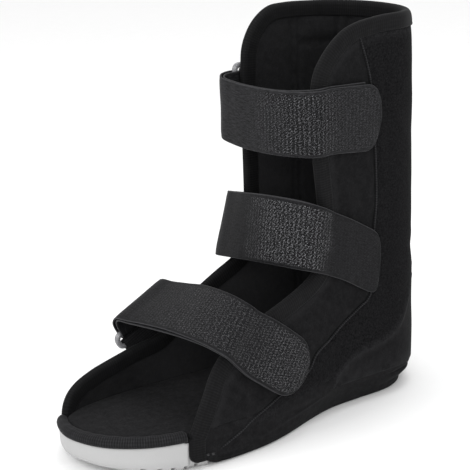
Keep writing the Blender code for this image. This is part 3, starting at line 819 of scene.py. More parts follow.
@dataclass
class Thread:
    """Sewing thread that lies in single stitches along rows."""

    length: float = 2.7
    pitch: float = 3.9
    thick: float = 0.55
    rows: list[tuple[np.ndarray, np.ndarray]] = field(default_factory=list)

    def sew(self, points: np.ndarray, normals: np.ndarray) -> None:
        """Adds a row along points in millimetres, with the outward normals of what it is sewn on."""
        self.rows.append((np.asarray(points, float), np.asarray(normals, float)))

    def seats(self) -> tuple[np.ndarray, np.ndarray]:
        """Middle and turning matrix of every stitch."""
        places, turns = [], []
        for points, normals in self.rows:
            run = run_of(points)
            count = max(1, int(run[-1] // self.pitch))
            at = (np.arange(count) + 0.5) * run[-1] / count
            ahead = read_at(points, run, np.minimum(at + 0.5, run[-1]))
            along = unit(ahead - read_at(points, run, np.maximum(at - 0.5, 0.0)))
            out = read_at(normals, run, at)
            out = unit(out - along * (out * along).sum(1)[:, None])
            places.append(read_at(points, run, at))
            turns.append(np.stack([along, np.cross(out, along), out], -1))
        return np.vstack(places), np.vstack(turns)

    def build(self, name: str, material: Material) -> Object:
        """Models one stitch and lays a copy of it at every seat.

        Args:
            name: Name of the joined piece.
            material: Finish of the thread.

        Returns:
            The joined stitches.
        """
        nothing_selected()
        bpy.ops.mesh.primitive_uv_sphere_add(segments=6, ring_count=4, radius=1.0)
        seed = bpy.context.object
        shape = np.array([v.co for v in seed.data.vertices])
        shape = shape[:, [2, 0, 1]] * np.array([self.length / 2.0, self.thick / 2.0, self.thick / 2.0])
        faces = [tuple(p.vertices) for p in seed.data.polygons]
        bpy.data.objects.remove(seed)
        middles, turns = self.seats()
        points = np.einsum("nij,kj->nki", turns, shape) + middles[:, None, :]
        joined = [tuple(k + i * len(shape) for k in f) for i in range(len(middles)) for f in faces]
        obj = meshed(name, points.reshape(-1, 3), joined)
        face_outward(obj)
        return finished(obj, None, "edge_binding", material)


@dataclass(frozen=True)
class Crease:
    """Soft fold in the cloth: a trough with a low ridge on each side."""

    start: tuple[float, float]
    end: tuple[float, float]
    depth: float
    width: float

    def lift(self, flat: np.ndarray) -> np.ndarray:
        """How far the fold moves each point of the flat pattern, outward positive."""
        a, b = np.array(self.start), np.array(self.end)
        along = b - a
        share = ((flat - a) @ along) / (along @ along)
        fade = eased(-0.15, 0.25, share) * (1.0 - eased(0.75, 1.15, share))
        twice_area = (flat[:, 0] - a[0]) * along[1] - (flat[:, 1] - a[1]) * along[0]
        aside = np.abs(twice_area) / np.linalg.norm(along)
        return fade * self.depth * (0.6 * bump_at(aside - 2.0 * self.width, self.width)
                                    - bump_at(aside, self.width))


@dataclass
class Upper:
    """Foam laminate wall of the boot, its lining, edge tape and raised seam."""

    last: Last
    plan: Plan
    wall: float = 4.6
    foot: float = 21.3
    grid: float = 2.6
    tape_width: float = 10.5
    near_edge: Knots = (
        (250, 21.3), (245, 31.4), (239.6, 42.8), (233.6, 53.2), (227.2, 63.4), (218.6, 72.8), (208.5, 79.5),
        (194, 85.6), (172, 94.6), (159.6, 98.2), (148, 101.8), (131, 108.6), (121.2, 116), (117.4, 128),
        (116.6, 160), (120.5, 200), (122, 245), (119.8, 258), (114.4, 268.2), (103.8, 279.8), (91.5, 288.5),
        (80, 292.3), (60, 294.9), (45.6, 295.4))
    collar: Knots = ((50, 295), (35, 294.3), (20, 294.6), (0, 295), (-20, 295.8), (-50, 297.2))
    far_edge: Knots = (
        (45.6, 298.2), (75, 299.4), (91, 298), (103, 291), (111, 281.5), (116, 270), (117.5, 255),
        (117.5, 160), (118, 126), (121, 117), (129, 110.5), (147, 101.2), (166, 90), (184, 75.5),
        (196, 64.5), (206, 60), (222, 57.5), (234, 54.6), (248, 51.3), (262, 47.8), (276, 43),
        (286, 37.2), (292, 30), (294.5, 21.3))
    raised_seam: Knots = (
        (79.5, 284), (73.5, 267), (69, 250), (64.5, 199), (63.5, 158), (65.5, 139), (70, 86),
        (82, 78), (96.4, 70.2), (112, 60.7), (127, 54), (136.4, 44.5), (151, 40.5), (166, 36.7),
        (198, 25.1), (204, 21.5))
    seam_turn: tuple[float, float] = (70.0, 86.0)
    counter_seam: Knots = (
        (0, 112), (8, 104), (19, 87), (28.1, 72), (37.4, 58), (52.3, 48), (75.9, 43),
        (92.4, 37.6), (104, 29), (114, 21))
    lining_seams: tuple[float, ...] = (16.5, 25.0, 63.0, 69.0)
    collar_facing: float = 267.0
    creases: tuple[Crease, ...] = (
        Crease((118.0, 118.0), (84.0, 96.0), 0.55, 3.2),
        Crease((150.0, 104.0), (112.0, 84.0), 0.45, 4.0),
        Crease((196.0, 76.0), (176.0, 40.0), 0.4, 3.6),
        Crease((245.0, 60.0), (230.0, 30.0), 0.45, 4.2),
        Crease((108.0, 180.0), (92.0, 140.0), 0.3, 4.5),
        Crease((52.0, 120.0), (20.0, 104.0), 0.45, 4.4),
        Crease((60.0, 236.0), (34.0, 196.0), 0.35, 6.0),
        Crease((-60.0, 128.0), (-20.0, 108.0), 0.45, 4.4),
        Crease((-140.0, 116.0), (-100.0, 92.0), 0.5, 4.0),
        Crease((-196.0, 84.0), (-168.0, 40.0), 0.45, 4.2),
        Crease((-252.0, 50.0), (-228.0, 28.0), 0.4, 3.8),
    )

    def edge(self) -> np.ndarray:
        """Free edge in the flat pattern, from the near foot over the collar to the far toe."""
        knots = [(self.last.path_of(Side.NEAR, s), z) for s, z in self.near_edge]
        knots += list(self.collar)
        knots += [(self.last.path_of(Side.FAR, s), z) for s, z in self.far_edge]
        return through(knots, 2.4)

    def inward(self, edge: np.ndarray) -> np.ndarray:
        """Unit directions from the free edge into the pattern."""
        tangent = np.gradient(edge, axis=0)
        normal = unit(np.column_stack([-tangent[:, 1], tangent[:, 0]]))
        top = int(np.argmax(edge[:, 1]))
        return -normal if normal[top][1] > 0.0 else normal

    def seam_line(self, side: Side) -> np.ndarray:
        """Raised seam between the flap and the pile panel in the flat pattern."""
        return through([(self.last.path_of(side, s), z) for s, z in self.raised_seam], 2.2)

    def counter_line(self, side: Side) -> np.ndarray:
        """Top edge of the heel's lower panel in the flat pattern."""
        return through([(self.last.path_of(side, s), z) for s, z in self.counter_seam], 2.4)

    def flat_pattern(self) -> tuple[np.ndarray, np.ndarray]:
        """Fine triangles of the flat pattern.

        Returns:
            Its points as path length and height, and its triangles.
        """
        edge = self.edge()
        inward = self.inward(edge)
        lines = [edge + inward * width for width in (1.4, 3.0, self.tape_width - 0.6)]
        lines += [self.seam_line(side) for side in Side] + [self.counter_line(side) for side in Side]
        kept = []
        for line in lines:
            inside = line[(line[:, 1] > self.foot + 0.8)]
            away = distance_to(edge, inside) > 1.1
            kept.append(inside[away])
        border = [tuple(p) for p in edge]
        border += [(u, self.foot) for u in np.arange(edge[-1][0] + 2.4, edge[0][0] - 1.0, 2.4)]
        points = list(border)
        links = [(i, (i + 1) % len(border)) for i in range(len(border))]
        for line in kept:
            start = len(points)
            points += [tuple(p) for p in line]
            gaps = np.linalg.norm(np.diff(line, axis=0), axis=1)
            links += [(start + i, start + i + 1) for i in range(len(line) - 1) if gaps[i] < 5.0]
        held = np.array(points)
        across = np.arange(edge[-1][0], edge[0][0], self.grid)
        up = np.arange(self.foot + self.grid, 302.0, self.grid)
        mesh_u, mesh_z = np.meshgrid(across, up)
        mesh_u = mesh_u + (np.arange(len(up)) % 2)[:, None] * self.grid / 2.0
        free = np.column_stack([mesh_u.ravel(), mesh_z.ravel()])
        near = np.full(len(free), 1e9)
        for start in range(0, len(free), CHUNK):
            gap = np.linalg.norm(free[start:start + CHUNK, None, :] - held[None, :, :], axis=2)
            near[start:start + CHUNK] = gap.min(1)
        free = free[near > self.grid * 0.6]
        points += [tuple(p) for p in free]
        cut = delaunay_2d_cdt([Vector(p) for p in points], links, [tuple(range(len(border)))], 1, 0.01)
        flat = np.array([(v[0], v[1]) for v in cut[0]])
        return flat, np.array([tuple(f) for f in cut[2]])

    def behind_seam(self, flat: np.ndarray) -> np.ndarray:
        """Whether each point lies on the pile panel, behind and under the raised seam."""
        places, heights = np.array(self.raised_seam).T
        forward = self.last.forward_of(flat[:, 0])
        turn_place, turn_height = self.seam_turn
        low = heights <= turn_height
        run = np.interp(flat[:, 1], heights[::-1], places[::-1])
        under = np.interp(forward, places[low], heights[low])
        return np.where(flat[:, 1] > turn_height, forward < run,
                        (forward < turn_place) | (flat[:, 1] < under))

    def under_counter(self, flat: np.ndarray) -> np.ndarray:
        """Whether each point lies on the heel's smooth lower panel."""
        places, heights = np.array(self.counter_seam).T
        forward = self.last.forward_of(flat[:, 0])
        return flat[:, 1] < np.interp(forward, places, heights)

    def nearest(self, seam: Callable[[Side], np.ndarray], flat: np.ndarray) -> np.ndarray:
        """Distance of each point from a seam that both sides have."""
        return np.minimum(*[distance_to(seam(side), flat) for side in Side])

    def tuck(self, flat: np.ndarray, from_edge: np.ndarray) -> np.ndarray:
        """How far each face of the wall draws in under its bound edge."""
        return 1.6 * (1.0 - eased(0.0, 2.8, from_edge)) * (flat[:, 1] > self.foot + 0.01)

    def outer_lift(self, flat: np.ndarray, from_edge: np.ndarray) -> np.ndarray:
        """Relief of the outer cloth, outward positive."""
        forward = self.last.forward_of(flat[:, 0])
        lift = 0.22 * waves(flat, 46.0, 3) + 0.1 * waves(flat, 17.0, 4)
        seam, counter = self.nearest(self.seam_line, flat), self.nearest(self.counter_line, flat)
        lift += 0.4 * bump_at(seam - 7.0, 4.0) - 0.9 * bump_at(seam, 1.7)
        under = self.under_counter(flat)
        rim = 1.2 * bump_at(counter, 2.3) * np.where(under, 1.0, 0.5) * eased(2.0, 24.0, forward)
        lift += np.where(under, 0.45, -0.1) + rim
        for crease in self.creases:
            lift += crease.lift(flat)
        lift *= eased(self.tape_width - 1.0, self.tape_width + 6.0, from_edge)
        lift -= 0.35 * bump_at(from_edge - self.tape_width - 0.8, 1.6)
        return np.minimum(lift, 1.9) - self.tuck(flat, from_edge)

    def wear_and_ridge_highlight(self, flat: np.ndarray, from_edge: np.ndarray) -> np.ndarray:
        """Share of greyed nap: a painted highlight along the counter's ridge, rubbed nap by the tape and
        low on the sides, and greyer nap on the folds' crests.
        """
        counter = self.nearest(self.counter_line, flat)
        patchy = 0.6 + 0.4 * waves(flat, 9.0, 21)
        # Painted highlight along the counter's ridge.
        share = 0.11 * bump_at(counter - 0.6, 2.0) * (0.8 + 0.2 * patchy)
        share += 0.1 * (1.0 - eased(0.0, 16.0, flat[:, 1] - self.foot)) * patchy
        share += 0.07 * bump_at(from_edge - self.tape_width - 3.0, 3.0)
        for crease in self.creases:
            share += 0.06 * np.maximum(crease.lift(flat), 0.0)
        return np.clip(share, 0.0, 1.0)

    def greying(self, flat: np.ndarray) -> np.ndarray:
        """Share of greyed nap on the lining: painted fill light that is most low in the shaft and lifts its
        deep shade.
        """
        shaft = 1.0 - eased(170.0, 245.0, self.last.forward_of(flat[:, 0]))
        # Painted fill light, strongest low in the shaft.
        return 0.01 + 0.15 * shaft * (1.0 - eased(190.0, 245.0, flat[:, 1]))

    def inner_lift(self, flat: np.ndarray, from_edge: np.ndarray) -> np.ndarray:
        """Relief of the lining, towards the leg positive."""
        forward = self.last.forward_of(flat[:, 0])
        lift = 0.3 * waves(flat, 38.0, 7) + 0.12 * waves(flat, 15.0, 8)
        fade = eased(30.0, 60.0, flat[:, 1])
        for place in self.lining_seams:
            lift -= 2.0 * fade * bump_at(forward - place, 1.7)
        lift += 1.5 * fade * bump_at(forward - 44.0, 13.0)
        back = forward < self.lining_seams[-2]
        lift -= np.where(back, 2.2, 0.0) * bump_at(flat[:, 1] - self.collar_facing, 1.8)
        lift += np.where(back, 1.2, 0.0) * bump_at(flat[:, 1] - self.collar_facing - 9.0, 7.0)
        lift *= eased(self.tape_width - 1.0, self.tape_width + 5.0, from_edge)
        return lift - self.tuck(flat, from_edge)

    def build_shell(self, materials: list[Material]) -> Object:
        """Wraps the flat pattern round the last, outside and inside.

        Args:
            materials: Finishes in the order of Zone.

        Returns:
            The hollow wall.
        """
        flat, triangles = self.flat_pattern()
        from_edge = distance_to(self.edge(), flat)
        outer = self.last.stand(flat[:, 0], flat[:, 1], self.outer_lift(flat, from_edge))
        inner = self.last.stand(flat[:, 0], flat[:, 1], -self.wall - self.inner_lift(flat, from_edge))
        count = len(flat)
        directed = np.concatenate([triangles[:, [0, 1]], triangles[:, [1, 2]], triangles[:, [2, 0]]])
        _, first, seen = np.unique(np.sort(directed, axis=1), axis=0, return_index=True,
                                   return_counts=True)
        open_sides = directed[first[seen == 1]]
        faces = [tuple(t) for t in triangles.tolist()]
        faces += [(a + count, c + count, b + count) for a, b, c in triangles.tolist()]
        faces += [(b, a, a + count, b + count) for a, b in open_sides.tolist()]
        obj = meshed("upper_shell", np.vstack([outer, inner]), faces)
        middles = flat[triangles].mean(axis=1)
        zone = np.where(self.behind_seam(middles), Zone.PILE.value, Zone.FLAP.value)
        zone = np.where(self.under_counter(middles), Zone.COUNTER.value, zone)
        places = np.full(len(faces), Zone.LINING.value, np.int32)
        places[:len(triangles)] = zone
        # Each point's greyed share: wear with a painted ridge highlight outside, painted fill light on the
        # lining.
        share = obj.data.attributes.new("rubbed_and_painted_light", "FLOAT", "POINT")
        share.data.foreach_set("value", np.concatenate([self.wear_and_ridge_highlight(flat, from_edge), self.greying(flat)]))
        face_outward(obj)
        finished(obj, "upper", "foam_laminate", *materials)
        obj.data.polygons.foreach_set("material_index", places)
        return obj

    def build_tape(self, material: Material, thread: Thread) -> Object:
        """Folds the edge tape over the free edge and sews it through.

        Args:
            material: Finish of the tape.
            thread: Thread that takes the tape's rows.

        Returns:
            The tape.
        """
        inner = -self.wall
        section = ((10.5, 0.0), (10.4, 0.35), (9.9, 0.5), (8.9, 0.3), (7.6, 0.52), (5.0, 0.6), (3.0, 0.5),
                   (1.5, 0.15), (0.5, -0.5), (0.0, -1.5), (-0.1, inner / 2.0), (0.0, inner + 1.5),
                   (0.5, inner + 0.35), (1.5, inner - 0.4), (3.0, inner - 0.6), (5.0, inner - 0.65),
                   (7.6, inner - 0.6), (8.9, inner - 0.45), (9.9, inner - 0.55), (10.4, inner - 0.4),
                   (10.5, inner - 0.05))
        edge = self.edge()
        inward = self.inward(edge)
        run = run_of(edge)
        rings = []
        for depth, offset in section:
            flat = edge + inward * depth
            flat[:, 1] = np.maximum(flat[:, 1], self.foot)
            swell = 0.12 * np.sin(run / 3.1 + 1.5 * np.sin(run / 19.0)) * eased(1.0, 4.0, depth)
            swell = swell + 0.15 * np.sin(run / 23.0)
            sign = 1.0 if offset > inner / 2.0 else -1.0
            rings.append(self.last.stand(flat[:, 0], flat[:, 1],
                                         offset + sign * swell * (abs(depth) > 1.0)))
        tape = swept("edge_tape", np.stack(rings, axis=1), False, False)
        thickened(tape)
        for depth, offset in ((8.8, 0.42), (8.8, inner - 0.5)):
            flat = edge + inward * depth
            flat = flat[flat[:, 1] > self.foot + 1.0]
            out = self.last.normal(flat[:, 0], flat[:, 1]) * (1.0 if offset > 0.0 else -1.0)
            thread.sew(self.last.stand(flat[:, 0], flat[:, 1], offset), out)
        return finished(tape, None, "edge_binding", material)

    def build_seam(self, material: Material) -> Object:
        """Thin folded lip of the raised seam, which runs on over the covered sole."""
        flat = self.seam_line(Side.NEAR)
        flat = flat[flat[:, 1] > self.foot + 0.4]
        centre = self.last.stand(flat[:, 0], flat[:, 1], 0.0)
        out = self.last.normal(flat[:, 0], flat[:, 1])
        low = through([(206.5, 20.3), (214, 17), (220, 14.4), (226, 11.6)], 2.2)
        centre_low = self.plan.near_side(low[:, 0], low[:, 1], 0.0)
        out_low = self.plan.near_side(low[:, 0], low[:, 1], 1.0) - centre_low
        centre, out = np.vstack([centre, centre_low]), np.vstack([out, out_low])
        side = np.cross(out, unit(np.gradient(centre, axis=0)))
        ends = np.minimum(run_of(centre), run_of(centre[::-1])[::-1])
        slim = eased(-2.0, 6.0, ends)
        rings = []
        for k in range(10):
            turn = 2.0 * math.pi * k / 10.0
            rings.append(centre + side * (0.6 * math.cos(turn) * slim)[:, None]
                         + out * (0.35 + 0.85 * math.sin(turn) * slim)[:, None])
        seam = swept("flap_seam_lip", np.stack(rings, axis=1), True, True)
        return finished(seam, None, "edge_binding", material)


@dataclass
class Sole:
    """Moulded sole with cross lugs, and the black wall that wraps its side and heel."""

    plan: Plan
    top: float = 21.0
    cover: float = 2.0
    gap: float = 0.3
    groove_width: float = 3.2
    groove_depth: float = 3.0
    lip: float = 1.3
    front_foot: float = 5.8
    front_round: float = 6.0
    grooves: tuple[float, ...] = (
        30, 45, 60, 75, 90, 145, 160, 175, 190, 205, 219, 232, 243, 252, 261, 270, 280)

    def lifted(self, height: float, forward: np.ndarray, covered: bool) -> np.ndarray:
        """Height of a level of the side over the tread below it."""
        floor = self.plan.tread(forward)
        if covered:
            floor = np.where(forward > self.plan.waist[1], floor, 0.0)
        return floor + (self.top - floor) * height / self.top

    def build_sole(self, material: Material, board: Material) -> Object:
        """Outsole whose toe shows, with its grooves cut right across and its top covered.

        Args:
            material: Finish of the moulded foam.
            board: Finish of the cloth on its top.

        Returns:
            The sole.
        """
        line, normal = self.plan.outline()
        forward = line[:, 1]
        hidden = np.where(forward < self.plan.rand_end, self.cover + self.gap, 0.0)
        near = line[:, 0] > self.plan.toe_tip
        lip = self.lip * np.where(near, eased(250.0, 254.0, forward), eased(293.0, 296.0, forward))
        levels = (0.0, 0.6, 1.6, 3.2, 6.0, 7.6, 9.6, 13.0, 15.0, 16.4, 17.8, 19.6, 20.6, 21.0)
        rings = []
        for level in levels:
            soft = 0.9 * eased(20.0, 21.2, level)
            inset = self.plan.inset(level, forward) + hidden + soft
            height = self.lifted(level, forward, False) + lip * eased(12.0, 21.0, level)
            rings.append(np.column_stack([line - normal * inset[:, None], height]))
        for inset, share in ((7.6, 1.0), (8.8, 0.0)):
            rings.append(np.column_stack([line - normal * (inset + hidden)[:, None],
                                          self.top + lip * share]))
        sole = swept("sole_body", np.stack(rings, axis=0), True, True)
        cutters = []
        for place in self.grooves:
            floor = float(self.plan.tread(np.array(place)))
            low, high = floor - 4.0, floor + self.groove_depth
            nothing_selected()
            centre = metres(np.array([0.0, place, (low + high) / 2.0]))
            bpy.ops.mesh.primitive_cube_add(size=1.0, location=centre)
            cutter = bpy.context.object
            cutter.scale = (160.0 * MM, self.groove_width * MM, (high - low) * MM)
            bpy.ops.object.transform_apply(location=True, rotation=True, scale=True)
            cutters.append(cutter)
        nothing_selected()
        for cutter in cutters:
            cutter.select_set(True)
        bpy.context.view_layer.objects.active = cutters[0]
        bpy.ops.object.join()
        cut = sole.modifiers.new("grooves", "BOOLEAN")
        cut.operation = "DIFFERENCE"
        cut.object = cutters[0]
        apply_modifiers(sole)
        bpy.data.objects.remove(cutters[0])
        make_active(sole)
        bpy.ops.object.shade_smooth_by_angle(angle=math.radians(35.0))
        finished(sole, "sole", "grey_rubber", material, board)
        for face in sole.data.polygons:
            face.material_index = int(face.normal.z > 0.8 and face.center.z > 20.8 * MM)
        return sole

    def rand_section(self, forward: float) -> list[tuple[float, float]]:
        """Inset and level of the wall's section, outside up and inside down."""
        levels = np.array([0.8, 1.6, 3.2, 4.8, 6.0, 6.8, 7.6, 8.4, 9.6, 11.0, 12.2, 13.0, 14.0, 15.0, 15.8,
                           16.4, 17.0, 17.8, 18.8, 20.0, 21.0])
        outside = [(float(self.plan.inset(z, forward)), z) for z in levels[:-1]]
        outside += [(-0.2, 21.2), (-0.3, 22.6), (-0.26, 25.0), (-0.1, 28.0), (0.4, 29.4), (0.9, 25.0),
                    (0.9, 22.0)]
        inside = [(float(self.plan.inset(z, forward)) + self.cover, z) for z in levels[::-2]]
        return outside + inside

    def build_rand(self, material: Material) -> Object:
        """Black wall round the sole, with its three rounded steps at the heel."""
        line, normal = self.plan.outline()
        start = int(np.argmax(line[:, 1]))
        line, normal = np.roll(line, -start, axis=0), np.roll(normal, -start, axis=0)
        keep = line[:, 1] < self.plan.rand_end
        line, normal = line[keep], normal[keep]
        low = self.plan.waist[1]
        rings = []
        for place, out in zip(line, normal):
            forward = place[1]
            tread = float(self.plan.tread(np.array(forward)))
            floor = tread if forward > low else 0.0
            ring = []
            for inset, level in self.rand_section(forward):
                ridge = self.ridge(forward, level) if place[0] > 0.0 else 0.0
                xy = place - out * (inset - ridge)
                ring.append((xy[0], xy[1], max(floor + (self.top - floor) * level / self.top,
                                               self.lowest(forward))))
            rings.append(ring)
        rand = swept("rand_wall", np.array(rings), True, True)
        return finished(rand, "rand", "black_rubber", material)

    def lowest(self, forward: float) -> float:
        """Height of the wrap's lower edge, which rises and rounds off at its front."""
        rise = 0.8 + (self.front_foot - 0.8) * float(eased(227.0, 240.0, forward))
        turn = min(max((forward - self.plan.rand_end + self.front_round) / self.front_round, 0.0), 0.98)
        return rise + self.front_round * (1.0 - math.sqrt(1.0 - turn * turn))

    def ridge(self, forward: float, level: float) -> float:
        """Soft fold of the wrapped cloth along the covered sole on the near side."""
        fold = np.interp(forward, (100, 118, 140, 165, 211, 240), (22.0, 19.0, 15.8, 14.0, 8.5, 7.0))
        strength = float(eased(100.0, 125.0, forward) * (1.0 - eased(215.0, 240.0, forward)))
        return 0.7 * strength * float(bump_at(level - fold, 1.5))

    def build_front_tape(self, material: Material, thread: Thread) -> Object:
        """Tape that carries the flap's edge on over the covered sole, and its bar of stitches."""
        heights = np.array([5.8, 6.1, 6.7, 7.5, 8.4, 9.6, 11.4, 14.0, 17.0, 19.5, 20.8, 22.2, 24.0])
        places = ((238.2, 0.05), (238.4, 0.7), (239.2, 0.95), (242.0, 1.05), (245.6, 1.0), (247.8, 0.7),
                  (248.9, 0.0), (249.2, -0.9))
        rings = []
        drop = np.clip((self.front_foot + self.front_round - heights) / self.front_round, 0.0, 1.0)
        pull = self.front_round * (1.0 - np.sqrt(1.0 - drop * drop))
        for forward, offset in places:
            soft = 0.8 * offset * eased(5.7, 7.0, heights)
            run = forward - pull * float(eased(236.0, 249.0, forward))
            column = self.plan.near_side(run, heights, 0.0)
            lean = self.plan.near_side(run, heights, 1.0) - column
            rings.append(column + lean * soft[:, None])
        tape = swept("front_tape", np.stack(rings, axis=1), False, False)
        thickened(tape)
        bar = np.array([[229.5, 9.0], [233.5, 9.2], [238.0, 9.6]])
        for rise in (-0.5, 0.5):
            points = self.plan.near_side(bar[:, 0], bar[:, 1] + rise, 0.05)
            out = self.plan.near_side(bar[:, 0], bar[:, 1] + rise, 1.05) - points
            thread.sew(points, out)
        return finished(tape, None, "edge_binding", material)


@dataclass
class Footbed:
    """Padded footbed, and the padded rim round the open toe."""

    plan: Plan
    low: float = 21.3
    rise: float = 4.5
    inset: float = 5.4
    toe_inset: float = 9.6
    voxel: float = 2.2
    rim_ends: tuple[float, float] = (248.8, 295.5)
    rim_section: Knots = ((-0.7, 1.9), (-1.8, 3.9), (-1.2, 6.6), (1.2, 8.5), (4.6, 8.5), (7.6, 6.8),
                          (9.0, 4.6), (8.8, 2.6), (6.6, 1.7), (3.4, 1.6), (0.6, 1.6))

    def build_bed(self, material: Material) -> Object:
        """Footbed with a crowned edge, remeshed and filled out."""
        line, normal = self.plan.outline()
        reach = np.where(line[:, 0] > self.plan.toe_tip, eased(238.0, 250.0, line[:, 1]),
                         eased(297.0, 309.0, line[:, 1]))
        gap = self.inset + (self.toe_inset - self.inset) * reach
        rings = []
        for extra, height in ((0.5, 0.0), (0.0, 0.8), (0.0, 2.4), (0.5, 3.6), (1.7, 4.2), (4.0, 4.4)):
            rings.append(np.column_stack([line - normal * (gap + extra)[:, None],
                                          np.full(len(line), self.low + height)]))
        bed = swept("footbed", np.stack(rings, axis=0), True, True)
        remesh = bed.modifiers.new("even", "REMESH")
        remesh.mode = "VOXEL"
        remesh.voxel_size = self.voxel * MM
        apply_modifiers(bed)
        floor = (self.low + 0.05) * MM
        for vertex in bed.data.vertices:
            flat = (vertex.co.x / MM, vertex.co.y / MM)
            dish = 0.25 * math.sin(flat[0] / 9.0 + 1.0) * math.sin(flat[1] / 21.0)
            if vertex.co.z > (self.low + 0.6 * self.rise) * MM:
                vertex.co.z += dish * MM
            vertex.co.z = max(vertex.co.z, floor)
        swell(bed, 1.6, 0.5, self.low * MM)
        make_active(bed)
        bpy.ops.object.shade_smooth()
        return finished(bed, "insole", "footbed_foam", material)

    def build_rim(self, material: Material) -> Object:
        """Rolled rim that runs from the flap's foot round the toe to the far wall."""
        line, normal = self.plan.outline()
        start = int(np.argmin(line[:, 1]))
        line, normal = np.roll(line, -start, axis=0), np.roll(normal, -start, axis=0)
        near = (line[:, 0] > self.plan.toe_tip) & (line[:, 1] > self.rim_ends[0])
        far = (line[:, 0] <= self.plan.toe_tip) & (line[:, 1] > self.rim_ends[1])
        keep = near | far
        order = np.argsort(np.where(keep)[0])
        line, normal = line[keep][order], normal[keep][order]
        fine = through(np.hstack([line, normal]), 1.6)
        section = through(self.rim_section, 1.5, closed=True)
        run = run_of(fine[:, :2])
        rings = []
        for station, place in enumerate(fine):
            slim = 0.86 + 0.14 * math.sqrt(min(run[station] / 3.0, 1.0))
            slim *= 0.5 + 0.5 * math.sqrt(min((run[-1] - run[station]) / 34.0, 1.0))
            pucker = 0.14 * math.sin(run[station] / 1.9 + 1.2 * math.sin(run[station] / 13.0))
            ring = []
            for inward, up in section:
                inward = 1.6 + (inward - 1.6) * slim
                up = 1.6 + (up - 1.6) * slim
                crown = pucker * float(eased(5.0, 8.0, up))
                ring.append((place[0] - place[2] * inward, place[1] - place[3] * inward,
                             21.0 + up + crown))
            rings.append(ring)
        rim = swept("toe_rim_roll", np.array(rings), True, True)
        swell(rim, 1.2, 0.3, 22.4 * MM)
        return finished(rim, "toe_rim", "edge_binding", material)


def swell(obj: Object, pressure: float, cap: float, floor: float) -> None:
    """Fills a padded piece out with cloth under pressure, and caps how far it moves.

    Args:
        obj: Closed fine mesh.
        pressure: Pressure inside the cloth.
        cap: Most that a point may move, in millimetres.
        floor: Height in metres that the piece doesn't sink under.
    """
    count = len(obj.data.vertices)
    rest = np.empty(count * 3, np.float32)
    obj.data.vertices.foreach_get("co", rest)
    rest = rest.reshape(-1, 3)
    cloth = obj.modifiers.new("fill", "CLOTH")
    cloth.settings.quality = 4
    cloth.settings.use_pressure = True
    cloth.settings.uniform_pressure_force = pressure
    cloth.settings.effector_weights.gravity = 0.0
    cloth.settings.tension_stiffness = 30.0
    cloth.settings.shrink_min = -0.02
    cloth.collision_settings.use_collision = False
    scene = bpy.context.scene
    for number in range(1, SETTLE_FRAMES + 1):
        scene.frame_set(number)
    moved = obj.evaluated_get(bpy.context.evaluated_depsgraph_get())
    found = np.empty(count * 3, np.float32)
    moved.data.vertices.foreach_get("co", found)
    step = found.reshape(-1, 3) - rest
    size = np.maximum(np.linalg.norm(step, axis=1), 1e-9)
    step *= np.minimum(1.0, cap * MM / size)[:, None]
    obj.modifiers.remove(cloth)
    scene.frame_set(1)
    rest += step
    rest[:, 2] = np.maximum(rest[:, 2], floor)
    obj.data.vertices.foreach_set("co", rest.ravel())
    obj.data.update()
    LOG.info("%s filled out by up to %.2f mm", obj.name, float(np.minimum(size, cap * MM).max() / MM))


